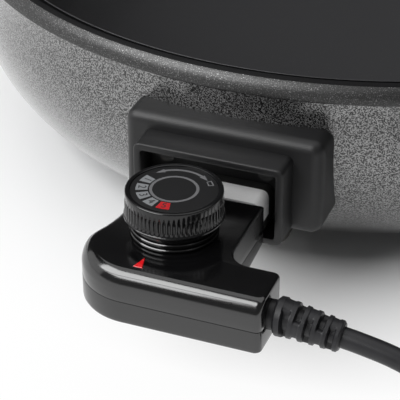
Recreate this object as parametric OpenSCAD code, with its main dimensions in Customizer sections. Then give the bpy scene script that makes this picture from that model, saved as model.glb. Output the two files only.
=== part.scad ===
// Round electric grill pan with a plug-in temperature control on a mains lead.
// Millimetres, +Z up, standing on the plane z = 0.
// Pieces are drawn around the pan's axis, with the socket towards -Y. in_row() then moves them so
// that the origin lies on the table below the middle of the object.

/* [Pan] */
// Outer radius of the rim band
pan_r = 200; // [170:1:240]
// Height from the underside of the pan to the top of its rim
pan_h = 94.5; // [88:0.5:110]
// Radius of the flat underside
base_r = 162; // [140:1:166]
// Height of the upright part of the side wall
side_straight = 20; // [16:1:26]
// Thickness of the side wall
wall = 5; // [4:0.5:6]
// Thickness of the floor
floor_t = 4.5; // [3:0.5:8]
// How far the rim band stands out from the side wall
rim_step = 0.5; // [0.3:0.1:2]
// Height of the rim band
rim_h = 8.5; // [7:0.5:12]
// Width of the rim, from its face to its inner edge
rim_w = 9.5; // [9.5:0.1:12]
// Round of the rim's upper edge
rim_round = 5; // [2:0.5:5]
// Width of the groove that seats a lid
seat_w = 3.5; // [1:0.1:3.5]
// Depth of the groove that seats a lid
seat_d = 3; // [1:0.1:3.5]

/* [Feet] */
// Height of the pan's underside above the table
foot_h = 16; // [14:0.5:22]
// Radius of a foot where it meets the pan
foot_r = 14; // [12:0.5:16]
// Clear distance between the heater's ridge and the feet
foot_gap = 9.5; // [6:0.5:12]
// Angle between the socket's direction and the nearest feet
foot_angle = 60; // [45:1:70]
// Thickness of the rubber pad under a foot
pad_t = 2.5; // [1.5:0.5:4]

/* [Heater] */
// Radius of the heater's ring
ring_r = 112; // [90:1:118]
// Diameter of the heater's tube
tube_d = 7; // [5:0.5:8]
// Half the distance between the two terminals
lead_x = 13; // [12:0.5:14]
// Diameter of a terminal pin
pin_d = 5; // [4:0.5:5.5]

/* [Handles] */
// How far a handle reaches out from the rim
handle_reach = 50; // [44:1:70]
// Half the distance between a handle's two arms
handle_half = 48; // [40:1:60]
// Width of a handle's grip, seen from above
grip_w = 22; // [18:1:24]
// Thickness of a handle's grip
grip_t = 17; // [14:1:18]

/* [Socket] */
// Width of the socket block
block_w = 88; // [80:1:100]
// How far the block's middle lies beside the plug's axis
block_x = 1.4; // [0:0.1:2]
// Height of the socket block
block_h = 44; // [42:1:50]
// How far the block's face stands out from the rim
block_out = 10; // [9:0.5:14]
// Round of the block's edges
block_round = 5; // [3:0.5:7]
// Width of the sleeve around the plug
sleeve_w = 66; // [64:0.5:72]
// Height of the sleeve
sleeve_h = 36.5; // [35:0.5:38]
// How far the sleeve stands out from the block
sleeve_l = 12.8; // [10:0.2:15]
// Wall of the sleeve
sleeve_t = 3.2; // [2.4:0.2:3.6]
// Height of the plug's axis above the table
plug_z = 61; // [59:0.5:64]

/* [Control] */
// Width of the neck
neck_w = 54; // [53:0.5:58]
// Distance from the block's face to the end of the neck
neck_end = 18.3; // [17:0.1:22]
// Distance from the block's face to the dial's axis
dial_out = 48; // [47:0.5:50]
// Distance from the block's face to the back of the bar
bar_back = 61; // [60:0.5:66]
// Distance from the block's face to the front of the bar
bar_front = 84.8; // [84:0.2:90]
// Distance from the dial's axis to the bar's cord end
bar_right = 52; // [50:0.5:58]
// Radius of the bar's round end
round_r = 24.7; // [23:0.1:26]
// Height of the upper shell above the plug's axis
top_up = 8; // [8:0.5:10]
// Depth of the lower shell below the plug's axis
bottom_down = 15; // [14:0.5:16]
// Depth of the parting line below the plug's axis
split_down = 5; // [4.5:0.5:6]
// How far the control's upper edge is rounded back
edge_r = 5; // [2:0.1:5.5]
// How far down the control's upper edge is rounded
edge_h = 7.4; // [3:0.1:9]
// Wall of the two shells
shell_t = 2.6; // [2:0.1:3]

/* [Dial] */
// Radius of the dial's grip
dial_r = 19.6; // [18:0.1:21]
// Height of the dial
dial_h = 11.6; // [9:0.1:14]
// Number of ribs on the grip
dial_ribs = 64; // [40:1:80]
// Radius of the printed disc
face_r = 17.4; // [15:0.1:17.6]
// Radius of the spindle
spindle_r = 3; // [2.5:0.1:3.5]

/* [Lead] */
// Diameter of the mains lead
cord_d = 8.4; // [8.2:0.1:8.6]
// Turns in the coil of unseen lead
coil_turns = 4.5; // [2.5:1:6.5]
// Radius of the outermost turn
coil_r = 54; // [54:1:58]

/* [Hidden] */
$fn = 96;
hull_fn = 32;
// Clearances: a seat, a running fit, a plug fit, a screw in its hole
seat_gap = 0.3;
run_gap = 0.05;
plug_gap = 0.3;
screw_gap = 0.3;
over = 1;

// Pan
rim_top = foot_h + pan_h;
rim_z = rim_top - rim_h;
rim_in = pan_r - rim_w;
lip_w = 0.9;
lip_drop = 1.2;
bead_drop = 4;
side_r = pan_r - rim_step;
bend_z = rim_z - side_straight;
bend_in = side_r - base_r;
bend_r = (pow(bend_in, 2) + pow(bend_z - foot_h, 2)) / (2 * bend_in);
bend_c = side_r - bend_r;

// Heater: the cold ends leave the ring, run out under the pan and rise along the side wall
tube_r = tube_d / 2;
heater_z = foot_h - tube_r - seat_gap;
bend_tube_r = tube_r + 0.2;
lap = 0.8;
ridge_w = tube_d + 8;
lead_bend = 12;
lead_a = asin((lead_x + lead_bend) / (ring_r + lead_bend));
rise_r = bend_r + tube_r + 0.8;
rise_bend = 12;
rise_a = acos((bend_z - heater_z - rise_bend) / (rise_r - rise_bend));
exit_bend = 8;
exit_a = acos((bend_z - plug_z + exit_bend) / (rise_r + exit_bend));
exit_y = bend_c + (rise_r + exit_bend) * sin(exit_a);

// Socket
block_front = pan_r + block_out;
block_z = plug_z - bottom_down;
block_top = block_z + block_h;
block_wall = 4.5;
socket_floor_t = 2.2;
sleeve_z = block_z + 0.4 + sleeve_h / 2;
sleeve_round = 3;
notch_half = lead_x + tube_r + 2.5;
pin_l = 11.3;
pin_base = exit_y;
insulator_r = 4.9;
insulator_flange = 6.2;
screw_x = 22;
screw_z = plug_z + 13;
screw_r = 2;
head_r = 3.6;
head_h = 2.4;
post_r = 4.5;
probe_r = 3;
guide_r = 4.8;
probe_boss_r = 6.5;
pocket_y = wall_y(0, plug_z, 0) + 2;
probe_tip_y = pocket_y + 1.3;

// Handles and feet
handle_z = rim_z - 14;
grip_c = pan_r + handle_reach - grip_w / 2;
handle_post_r = 6;
handle_bend = 16;
handle_post_x = pan_r + 3;
handle_screw_r = 2.5;
handle_head_r = 4.3;
foot_ring_r = ring_r + ridge_w / 2 + foot_gap + foot_r;
foot_tip_r = foot_r - 3;
foot_boss_r = 7;
foot_boss_h = 3;

// Control, measured outwards from the block's face
round_x = -8;
flare_start = 36.3;
notch_r = 9;
blend = 0.2;
corner_r = edge_r + 1;
flare_out = round_r - round_x - neck_w / 2;
flare_run = bar_front - round_r - flare_start;
flare_r = (pow(flare_out, 2) + pow(flare_run, 2)) / (2 * flare_out);
flare_a = asin(flare_run / flare_r);
ctl_top = plug_z + top_up;
ctl_bottom = plug_z - bottom_down;
ctl_split = plug_z - split_down;
neck_slope_start = 52;
neck_lift = 4.5;
nose_gap = 0.6;
nose_side = 4.5;
nose_w = sleeve_w - 2 * sleeve_t - 2 * nose_side;
nose_top = ctl_top - 1;
nose_bottom = plug_z - 10;
nose_round = 3.4;
nose_flange = 8;
shell_metal = 0.8;
shell_start = 6.8;
shell_round = 3;
cavity_half = neck_w / 2 - shell_t - 1;
ceiling_z = ctl_top - shell_t;
bar_c = (bar_back + bar_front) / 2;
bar_floor = ctl_bottom + shell_t;
neck_floor = nose_bottom + shell_t - 1.6;
relief_z = plug_z - 3.5;

// Dial, its boss and the switch below it
boss_r = 17.8;
boss_h = 7.1;
bush_r = 5;
bush_flange_r = 7;
dial_gap = 0.5;
dial_z = ctl_top + boss_h + dial_gap;
frame_z = plug_z + 1;
frame_t = 1.2;
frame_half = 11;
arm_z = plug_z - 4.8;
arm_pivot = dial_out - 18;
arm_end = dial_out + 14;
arm_t = 1;
contact_r = 2;
contact_gap = 0.3;
pilot = [[-5.2, -78], [-1.1, -78], [-3, -70.5]];

// Fixing posts of the two shells, in the control's own plan
shell_posts = [[-20, -72], [28.5, -80], [-20.6, -46], [20.6, -46]];
clamp_x = 39;
clamp_half = 6.5;
clamp_post_r = 2.2;
clamp_hole_l = 7;
clamp_posts = [[clamp_x, -bar_c - clamp_half], [clamp_x, -bar_c + clamp_half]];

// Route of the free lead, chosen by hand, in the control's own plan
cord_r = cord_d / 2;
relief_tilt = 8;
relief_l = 22.6;
collar_l = 3.6;
collar_r = 7.7;
recess_r = collar_r + 1.6;
recess_d = 1.4;
cord_route = [
    [78, -72.9, 54.3], [86, -72.9, 53.1], [94, -73, 51.6], [101, -73.2, 49.8], [112, -73.8, 46],
    [124, -75, 40], [136, -76.5, 32], [148, -78, 23.2], [160, -79.3, 15], [172, -80, 9.2],
    [184, -80, 6.4], [196, -80, 5.5], [204, -80, 5.5]
];
// Coil: starts where the free lead ends, spirals in on the table and out again on top
coil_gap = 0.6;
coil_pitch = cord_d + coil_gap;
coil_start = cord_route[len(cord_route) - 1];
coil_c = [coil_start[0] + cord_d, coil_start[1] + coil_r];
coil_rings = 24;
tie_t = 0.9;
tie_w = 8;
plug_r = 19.5;
plug_h = 24;
plug_neck_l = 20;
plug_pin_r = 2.4;
plug_pin_l = 19;
plug_pin_half = 9.5;
pin_root_r = 1.9;
pin_shoulder = 0.6;
coil_end = coil_point(coil_turns);
tail_l = cord_d + 4.6;
plug_x = coil_end[0] - tail_l - plug_neck_l - plug_r + 3;

// Half the distance between the object's front and back, as the origin's place asks
row_y = (block_front + bar_front - pan_r) / 2;

function wall_r(z, grow) =
    z >= bend_z ? side_r + grow : bend_c + sqrt(pow(bend_r + grow, 2) - pow(bend_z - z, 2));
function wall_y(x, z, grow) = sqrt(pow(wall_r(z, grow), 2) - x * x);
function unit(v) = v / norm(v);
function smooth(t) = t <= 0 ? 0 : t >= 1 ? 1 : t * t * (3 - 2 * t);

// Middle of the coil's tube after t turns
function coil_radius(t) = coil_r - coil_pitch * min(t, coil_turns - t);
function coil_point(t) = [
    coil_c[0] + coil_radius(t) * cos(360 * t - 90),
    coil_c[1] + coil_radius(t) * sin(360 * t - 90),
    coil_start[2] + coil_pitch * smooth((t - coil_turns / 2) * 2 + 0.5)
];
coil_steps = round(coil_turns * coil_rings);
coil_path = concat(
    [coil_start],
    [for (i = [0:coil_steps]) coil_point(i / coil_rings)],
    [coil_end - [tail_l, 0, 0]]
);
coil_gaps = [
    for (i = [0:coil_steps - coil_rings / 2], j = [i + coil_rings / 2:coil_steps])
        norm(coil_point(i / coil_rings) - coil_point(j / coil_rings)) - cord_d
];
function path_length(p, i = 1) = i >= len(p) ? 0 : norm(p[i] - p[i - 1]) + path_length(p, i + 1);
union() {  // cord_coil
    echo("least gap between the coil's turns", min(coil_gaps));
    echo("length of the lead", path_length(cord_route) + path_length(coil_path));
}

// Shapes that repeat

// A section swept along points, with flat square ends; it is given as [sideways, upwards] pairs
module swept(path, section) {
    n = len(path);
    sides = len(section);
    tangents = [for (i = [0:n - 1]) unit(path[min(i + 1, n - 1)] - path[max(i - 1, 0)])];
    points = [
        for (i = [0:n - 1], p = section)
            let (side = unit(cross(tangents[i], [0, 0, 1])), up = cross(side, tangents[i]))
            path[i] + p[0] * side + p[1] * up
    ];
    walls = [
        for (i = [0:n - 2], j = [0:sides - 1], half = [0, 1])
            let (a = i * sides + j, b = i * sides + (j + 1) % sides)
            half == 0 ? [a, b, a + sides] : [b, b + sides, a + sides]
    ];
    end = (n - 1) * sides;
    first = [for (j = [1:sides - 2]) [0, j + 1, j]];
    last = [for (j = [1:sides - 2]) [end, end + j, end + j + 1]];
    polyhedron(points, concat(walls, first, last));
}

function round_section(r, sides) = [for (j = [0:sides - 1]) r * [cos(360 * j / sides), sin(360 * j / sides)]];
function grip_section(w, t) = concat(
    [for (a = [-90:22.5:90]) [(w - t) / 2 + t / 2 * cos(a), t / 2 * sin(a)]],
    [for (a = [90:22.5:270]) [-(w - t) / 2 + t / 2 * cos(a), t / 2 * sin(a)]]
);
module swept_tube(path, r, sides) swept(path, round_section(r, sides));

// A ball whose poles lie on its full radius
module ball(r) rotate_extrude($fn = hull_fn) intersection() {
    circle(r, $fn = hull_fn);
    translate([0, -r]) square([r, 2 * r]);
}

// A rectangle with round corners, around the origin
module rounded_rect(w, h, r) {
    square([w - 2 * r, h], center = true);
    square([w, h - 2 * r], center = true);
    for (x = [-1, 1], y = [-1, 1])
        translate([x * (w / 2 - r), y * (h / 2 - r)]) circle(r);
}

// A cylinder from y0 to y1, both counted outwards from the pan's axis towards the socket
module outward(x, z, y0, y1, r)
    translate([x, -y0, z]) rotate([90, 0, 0]) cylinder(r = r, h = y1 - y0);

// A screw along +Z: its head below z = 0, its shank above
module screw(r, l, head, head_l) {
    cylinder(r = r, h = l);
    translate([0, 0, -head_l]) cylinder(r = head, h = head_l);
}

module in_row() translate([0, row_y, 0]) children();
module in_control() in_row() translate([0, -block_front, 0]) children();
module at_dial() in_control() translate([0, -dial_out, 0]) children();
module at_feet()
    for (x = [-1, 1], y = [-1, 1])
        in_row() translate([x * foot_ring_r * sin(foot_angle), y * foot_ring_r * cos(foot_angle), 0])
            children();
module both_sides() for (s = [-1, 1]) scale_x(s) children();
module scale_x(s) if (s > 0) children(); else mirror([1, 0, 0]) children();

// Pan

// Half section of the pan's outside, grown outwards, down to a height
module pan_section(grow, low) {
    translate([0, low]) square([bend_c, bend_z - low]);
    intersection() {
        translate([bend_c, bend_z]) circle(bend_r + grow);
        translate([0, low]) square([side_r + grow, bend_z - low]);
    }
    translate([0, bend_z]) square([side_r + grow, rim_z - bend_z]);
}

module rim_section() {
    difference() {
        union() {
            translate([rim_in, rim_z]) square([rim_w, rim_h - rim_round]);
            translate([rim_in, rim_z]) square([rim_w - rim_round, rim_h]);
            translate([pan_r - rim_round, rim_top - rim_round]) circle(rim_round);
            polygon([
                [rim_in, rim_z + lip_drop], [side_r - wall, rim_z - bead_drop],
                [side_r, rim_z - bead_drop], [side_r, rim_z + lip_drop]
            ]);
        }
        translate([rim_in - over, rim_top - lip_drop]) square([lip_w + over, lip_drop + over]);
        translate([rim_in + lip_w, rim_top - seat_d]) square([seat_w, seat_d + over]);
    }
}

// Where a post on the wall starts: inside the wall's metal, clear of the bowl
function post_start(x, z, r) = wall_y(max(0, abs(x) - r), z + r, -wall) + 0.4;

module handle_post_places()
    for (s = [-1, 1], y = [-1, 1])
        scale_x(s) translate([0, y * handle_half, handle_z]) rotate([0, 90, 0]) children();

module pan_body() color("dimgray") {
    handle_post_start = sqrt(pow(side_r - wall, 2) - pow(handle_half - handle_post_r, 2)) + 0.4;
    difference() {
        union() {
            in_row() {
                rotate_extrude($fn = 180) {
                    difference() {
                        pan_section(0, foot_h);
                        pan_section(-wall, foot_h + floor_t);
                    }
                    rim_section();
                    translate([ring_r - ridge_w / 2, heater_z]) square([ridge_w, foot_h - heater_z + over]);
                }
                outward(0, plug_z, post_start(0, plug_z, probe_boss_r), block_front - 5, probe_boss_r);
                for (x = [-1, 1])
                    outward(x * screw_x, screw_z, post_start(screw_x, screw_z, post_r),
                        block_front - socket_floor_t, post_r);
                handle_post_places()
                    translate([0, 0, handle_post_start])
                        cylinder(r = handle_post_r, h = handle_post_x - handle_post_start);
            }
            at_feet() translate([0, 0, foot_h - foot_boss_h])
                cylinder(r = foot_boss_r, h = foot_boss_h + over);
        }
        in_row() {
            rotate_extrude($fn = 180) translate([ring_r, heater_z]) circle(tube_r + run_gap);
            translate([-lead_x - lead_bend - 8, -ring_r - ridge_w, heater_z - over])
                cube([2 * (lead_x + lead_bend + 8), ridge_w * 1.7, foot_h - heater_z + over]);
            outward(0, plug_z, pocket_y, block_front, guide_r + run_gap);
            for (x = [-1, 1])
                outward(x * screw_x, screw_z, block_front - 9, block_front, screw_r + run_gap);
            handle_post_places()
                translate([0, 0, handle_post_x - 8]) cylinder(r = handle_screw_r + run_gap, h = 9);
        }
        at_feet() translate([0, 0, foot_h - foot_boss_h - over])
            cylinder(r = screw_r + run_gap, h = foot_boss_h + over + 2.5);
    }
}

module heating_element() color("slategray") in_row() {
    ring_lap = lap / ring_r * 57.3;
    rise_lap = lap / rise_r * 57.3;
    rotate([0, 0, -90 + lead_a - ring_lap]) rotate_extrude(angle = 360 - 2 * (lead_a - ring_lap))
        translate([ring_r, heater_z]) circle(tube_r);
    both_sides() {
        bend_at = (ring_r + lead_bend) * [sin(lead_a), -cos(lead_a)];
        run_end = bend_c + (rise_r - rise_bend) * sin(rise_a);
        translate([bend_at[0], bend_at[1], heater_z]) rotate([0, 0, 90 + lead_a])
            rotate_extrude(angle = 90 - lead_a) translate([lead_bend, 0]) circle(bend_tube_r);
        outward(lead_x, heater_z, -bend_at[1] - lap, run_end + lap, tube_r);
        rising_bend(run_end, heater_z + rise_bend, rise_bend, 0, rise_a, bend_tube_r);
        rising_bend(bend_c, bend_z, rise_r, rise_a - rise_lap, exit_a + rise_lap, tube_r);
        translate([lead_x, -exit_y, plug_z - exit_bend]) rotate([0, 90, 0]) rotate([0, 0, 180 - exit_a])
            rotate_extrude(angle = exit_a) translate([exit_bend, 0]) circle(bend_tube_r);
    }
}

// Part of a bend in the upright plane of a cold end; angles count from straight down, outwards
module rising_bend(out, z, r, from, to, tube)
    translate([lead_x, -out, z]) rotate([0, 90, 0]) rotate([0, 0, -to])
        rotate_extrude(angle = to - from) translate([r, 0]) circle(tube);

module terminal_pins() color("lightgray") in_row()
    for (x = [-1, 1]) {
        outward(x * lead_x, plug_z, pin_base, block_front + pin_l - 1, pin_d / 2);
        translate([x * lead_x, -(block_front + pin_l), plug_z]) rotate([-90, 0, 0])
            cylinder(r1 = pin_d / 2 - 0.8, r2 = pin_d / 2, h = 1);
    }

module terminal_insulators() color("ivory") in_row()
    for (x = [-1, 1]) difference() {
        union() {
            outward(x * lead_x, plug_z, pin_base, block_front, insulator_r);
            outward(x * lead_x, plug_z, pin_base, block_front - socket_floor_t, insulator_flange);
        }
        outward(x * lead_x, plug_z, pin_base - over, block_front + over, pin_d / 2 + 0.01);
    }

module earth_contact() color("gold") in_control() {
    strip_x = sleeve_w / 2 - sleeve_t - 0.1;
    strip_t = 0.5;
    tip_x = nose_w / 2 + shell_metal + plug_gap;
    tip_y = -shell_start - shell_round;
    back = block_front - wall_y(strip_x - strip_t, plug_z + 3, seat_gap);
    translate([0, 0, plug_z - 3]) linear_extrude(6) polygon([
        [-strip_x, back], [-strip_x, -3], [-tip_x - strip_t, tip_y], [-strip_x + 0.4, -sleeve_l + 0.4],
        [-strip_x + 0.4 + strip_t, -sleeve_l + 0.4], [-tip_x, tip_y], [-strip_x + strip_t, -3],
        [-strip_x + strip_t, back]
    ]);
}

module probe_guide() color("silver") in_row() difference() {
    outward(0, plug_z, pocket_y, block_front - 4, guide_r);
    outward(0, plug_z, pocket_y - over, block_front, probe_r + plug_gap);
}

// Socket on the pan's wall

module block_solid() translate([block_x, 0, 0]) hull()
    for (x = [-1, 1], z = [block_z + block_round, block_top - block_round]) {
        translate([x * (block_w / 2 - block_round), -block_front + block_round, z]) ball(block_round);
        translate([x * (block_w / 2 - block_round), -base_r, z]) rotate([90, 0, 0])
            cylinder(r = block_round, h = over, $fn = hull_fn);
    }

module along_socket(y0, y1, z) translate([0, -y0, z]) rotate([90, 0, 0]) linear_extrude(y1 - y0) children();

module socket_housing() color([0.13, 0.13, 0.14]) in_row() {
    floor_back = block_front - socket_floor_t;
    difference() {
        union() {
            block_solid();
            along_socket(floor_back, block_front + sleeve_l, sleeve_z)
                rounded_rect(sleeve_w, sleeve_h, sleeve_round);
        }
        rotate_extrude($fn = 180) pan_section(seat_gap, foot_h - seat_gap);
        along_socket(block_front, block_front + sleeve_l + over, sleeve_z)
            rounded_rect(sleeve_w - 2 * sleeve_t, sleeve_h - 2 * sleeve_t, 1.2);
        translate([block_x - block_w / 2 + block_wall, -floor_back, block_z + block_wall])
            cube([block_w - 2 * block_wall, floor_back, block_h - 2 * block_wall]);
        translate([-notch_half, -floor_back, block_z - over])
            cube([2 * notch_half, floor_back, block_wall + 2 * over]);
        for (x = [-1, 1]) {
            outward(x * lead_x, plug_z, base_r, block_front + over, insulator_r + run_gap);
            outward(x * screw_x, screw_z, base_r, block_front + over, screw_r + screw_gap);
        }
        outward(0, plug_z, base_r, block_front + over, probe_r + 1);
        translate([-sleeve_w / 2 + sleeve_t - 0.2, -block_front - over, plug_z - 3.3])
            cube([1.2, block_front, 6.6]);
    }
}

module socket_screws() color("silver") in_row()
    for (x = [-1, 1])
        translate([x * screw_x, -block_front, screw_z]) rotate([-90, 0, 0]) screw(screw_r, 8, head_r, head_h);

// Handles

// Middle line of the handle on the +X side: an arm, a bend, the grip along the rim, and back
function handle_path() = let (
        c_y = handle_half - handle_bend,
        c_x = sqrt(pow(grip_c - handle_bend, 2) - c_y * c_y),
        turn = atan(c_y / c_x),
        half = concat(
            [[side_r - 12, -handle_half, handle_z], [c_x, -handle_half, handle_z]],
            [for (i = [1:6]) let (a = -90 + i * (90 - turn) / 6)
                [c_x + handle_bend * cos(a), -c_y + handle_bend * sin(a), handle_z]],
            [for (i = [1:2]) let (a = -turn * (1 - i / 3)) [grip_c * cos(a), grip_c * sin(a), handle_z]]
        )
    )
    concat(half, [for (i = [len(half) - 1:-1:0]) [half[i][0], -half[i][1], half[i][2]]]);

// One handle on the +X side, hollowed for the pan's posts and bored for its screws
module handle() difference() {
    swept(handle_path(), grip_section(grip_w, grip_t));
    translate([0, 0, handle_z - grip_t]) cylinder(r = side_r + seat_gap, h = 2 * grip_t, $fn = 180);
    for (y = [-1, 1]) translate([0, y * handle_half, handle_z]) rotate([0, 90, 0]) {
        cylinder(r = handle_post_r + seat_gap, h = handle_post_x);
        cylinder(r = handle_screw_r + screw_gap, h = grip_c);
        translate([0, 0, handle_post_x + 8]) cylinder(r = handle_head_r + screw_gap, h = handle_reach);
    }
}

module right_handle() color([0.12, 0.12, 0.13]) in_row() handle();
module left_handle() color([0.12, 0.12, 0.13]) in_row() mirror([1, 0, 0]) handle();

module handle_screws() color("silver") in_row() handle_post_places()
    translate([0, 0, handle_post_x + 8]) rotate([180, 0, 0]) screw(handle_screw_r, 15, handle_head_r, 3);

// Feet

module feet() color([0.12, 0.12, 0.13]) at_feet() difference() {
    translate([0, 0, pad_t]) cylinder(r1 = foot_tip_r, r2 = foot_r, h = foot_h - pad_t);
    translate([0, 0, foot_h - foot_boss_h]) cylinder(r = foot_boss_r + seat_gap, h = foot_boss_h + over);
    translate([0, 0, pad_t - over]) cylinder(r = screw_r + screw_gap, h = foot_h);
    translate([0, 0, pad_t - over]) cylinder(r = head_r + screw_gap, h = head_h + 2 * over);
}

module foot_screws() color("silver") at_feet()
    translate([0, 0, pad_t + head_h + over]) screw(screw_r, foot_h - pad_t - head_h, head_r, head_h);

module foot_pads() color([0.2, 0.2, 0.2]) at_feet() cylinder(r = foot_tip_r - 0.5, h = pad_t);

// Plug-in control

// Outline of the control seen from above, anticlockwise: neck, hollow flare, round end, bar, hollow corner
function arc(c, r, from, to, n) =
    [for (i = [0:n]) c + r * [cos(from + (to - from) * i / n), sin(from + (to - from) * i / n)]];
function tail(list) = [for (i = [1:len(list) - 1]) list[i]];
control_outline = concat(
    [[neck_w / 2, -neck_end], [-neck_w / 2, -neck_end]],
    arc([-neck_w / 2 - flare_r, -flare_start], flare_r, 0, -flare_a, 8),
    tail(arc([round_x, -bar_front + round_r], round_r, 180, 270, 12)),
    arc([bar_right - corner_r, -bar_front + corner_r], corner_r, 270, 360, 5),
    arc([bar_right - corner_r, -bar_back - corner_r], corner_r, 0, 90, 5),
    arc([neck_w / 2 + notch_r, -bar_back + notch_r], notch_r, 270, 180, 6)
);
function left_of(v) = unit([-v[1], v[0]]);
function inset_point(p, i, d) = let (
        n = len(p),
        before = left_of(p[i] - p[(i + n - 1) % n]),
        after = left_of(p[(i + 1) % n] - p[i]),
        mid = unit(before + after)
    )
    p[i] + mid * d / (mid * before);

// Outside of the upper shell: the outline's wall with a round upper edge
module upper_solid() {
    n = len(control_outline);
    steps = 7;
    levels = concat(
        [[ctl_split, 0]],
        [for (k = [0:steps]) let (a = 90 * k / steps)
            [ctl_top - edge_h + edge_h * sin(a), edge_r * (1 - cos(a))]]
    );
    points = [
        for (l = levels, i = [0:n - 1]) let (q = inset_point(control_outline, i, l[1])) [q[0], q[1], l[0]]
    ];
    walls = [
        for (k = [0:len(levels) - 2], i = [0:n - 1], half = [0, 1])
            let (a = k * n + i, b = k * n + (i + 1) % n)
            half == 0 ? [a, a + n, b] : [b, a + n, b + n]
    ];
    top = (len(levels) - 1) * n;
    polyhedron(points, concat(walls, [[for (i = [0:n - 1]) i]], [[for (i = [0:n - 1]) top + n - 1 - i]]));
}

// Keeps what lies in front of the middle of the bar's round end
module front_half() intersection() {
    children();
    translate([round_x - 2 * round_r, -bar_front - round_r]) square([4 * round_r, 2 * round_r]);
}

// The space inside the two shells, between two heights
module control_cavity(low, high) translate([0, 0, low]) linear_extrude(high - low) {
    translate([-cavity_half, -bar_c]) square([2 * cavity_half, bar_c - neck_end - shell_t]);
    front_half() translate([round_x, -bar_front + round_r]) circle(round_r - shell_t);
    translate([round_x, -bar_front + shell_t + blend])
        square([bar_right - round_x - shell_t, bar_front - bar_back - 2 * shell_t - blend]);
}

// The nose and its flange, grown, to cut their seat in the shells
module nose_solid(grow) {
    translate([0, 0, (nose_top + nose_bottom) / 2]) {
        translate([0, -nose_gap, 0]) rotate([90, 0, 0]) linear_extrude(neck_end - nose_gap + over)
            rounded_rect(nose_w + 2 * grow, nose_top - nose_bottom + 2 * grow, nose_round + grow);
        translate([0, -neck_end, 0]) rotate([90, 0, 0]) linear_extrude(nose_flange)
            rounded_rect(nose_w - 4 + 2 * grow, nose_top - nose_bottom - 4 + 2 * grow, 1.5 + grow);
    }
}

// Opening for the strain relief, with a round recess in the bar's end
module relief_hole()
    translate([bar_right, -bar_c, relief_z]) rotate([0, 90, 0]) {
        translate([0, 0, -shell_t - 1.5]) cylinder(r = 6 + run_gap, h = shell_t + 3);
        translate([0, 0, -recess_d]) cylinder(r = recess_r, h = recess_d + over);
    }

module control_upper_housing() color([0.06, 0.06, 0.07]) in_control() {
    difference() {
        union() {
            upper_solid();
            translate([0, -dial_out, ctl_top - over]) {
                cylinder(r = boss_r - 1.4, h = boss_h + over);
                for (k = [0:2])
                    translate([0, 0, over + k * boss_h / 3]) cylinder(r = boss_r, h = boss_h / 3 - 0.8);
            }
        }
        difference() {
            control_cavity(ctl_split - over, ceiling_z);
            translate([0, -dial_out, frame_z + frame_t]) cylinder(r = 8, h = 10);
            for (p = shell_posts) translate([p[0], p[1], ctl_split]) cylinder(r = 3.4, h = 12);
            for (y = [-79, -71.5]) translate([-6.2, y - 0.6, plug_z + 2.5]) cube([6.4, 1.2, 4]);
        }
        nose_solid(run_gap);
        relief_hole();
        translate([0, -dial_out, ceiling_z - 8]) cylinder(r = bush_r + run_gap, h = 30);
        for (p = shell_posts) translate([p[0], p[1], ctl_split - over]) cylinder(r = 1.25 + run_gap, h = 8.5);
        translate([0, 0, ceiling_z - over]) linear_extrude(shell_t + 2 * over) polygon(pilot);
        translate([-3, -81, plug_z + 2.3]) rotate([-90, 0, 0]) cylinder(r = 2.5 + run_gap, h = 12);
    }
}

module control_lower_housing() color([0.07, 0.07, 0.08]) in_control() difference() {
    union() {
        difference() {
            translate([0, 0, ctl_bottom]) linear_extrude(ctl_split - ctl_bottom) polygon(control_outline);
            translate([-neck_w, 0, ctl_bottom]) rotate([90, 0, 90]) linear_extrude(2 * neck_w)
                polygon([[-neck_slope_start, 0], [-neck_end + over, neck_lift], [-neck_end + over, -over],
                    [-neck_slope_start, -over]]);
            difference() {
                control_cavity(bar_floor, ctl_split + over);
                translate([-40, -bar_back, 0]) cube([80, bar_back, neck_floor + 3]);
            }
            translate([-cavity_half + 0.6, -bar_back - 0.5, neck_floor])
                cube([2 * cavity_half - 1.2, bar_back - neck_end - shell_t - 0.5, 9]);
        }
        for (p = shell_posts) translate([p[0], p[1], bar_floor - 0.5])
            cylinder(r = 4.4, h = ctl_split - bar_floor + 0.5);
        for (p = clamp_posts) translate([p[0], p[1], bar_floor - 0.5])
            cylinder(r = clamp_post_r, h = relief_z + cord_r - bar_floor + 0.5);
    }
    nose_solid(run_gap);
    relief_hole();
    for (p = shell_posts) translate([p[0], p[1], ctl_bottom - over]) {
        cylinder(r = 1.25 + screw_gap, h = ctl_split - ctl_bottom + 2 * over);
        cylinder(r = 2.8 + screw_gap, h = over + neck_lift + 1.5);
    }
    for (p = clamp_posts) translate([p[0], p[1], relief_z + cord_r - clamp_hole_l])
        cylinder(r = 1.25 + run_gap, h = clamp_hole_l + 1);
}

module plug_nose() color([0.1, 0.1, 0.1]) in_control() difference() {
    nose_solid(0);
    nose_l = neck_end + nose_flange + 2 * over;
    for (x = [-1, 1])
        translate([x * lead_x, over, plug_z]) rotate([90, 0, 0]) cylinder(r = pin_d / 2 + 1.5, h = nose_l);
    translate([0, over, plug_z]) rotate([90, 0, 0]) cylinder(r = probe_r + run_gap, h = nose_l);
}

// Bright cover over the top and shoulders of the nose, its far corners round
module earth_shell() color("lightgray") in_control() intersection() {
    shell_w = nose_w + 2 * shell_metal;
    nose_h = nose_top - nose_bottom;
    translate([0, 0, (nose_top + nose_bottom) / 2]) rotate([90, 0, 0])
        linear_extrude(neck_end - 0.1) intersection() {
            difference() {
                rounded_rect(shell_w, nose_h + 2 * shell_metal, nose_round + shell_metal);
                rounded_rect(nose_w + 0.02, nose_h + 0.02, nose_round);
            }
            translate([-nose_w, 0]) square([2 * nose_w, nose_top]);
        }
    translate([0, -shell_start - neck_end / 2, nose_bottom]) linear_extrude(nose_h + 2)
        rounded_rect(shell_w, neck_end, shell_round);
}

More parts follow.
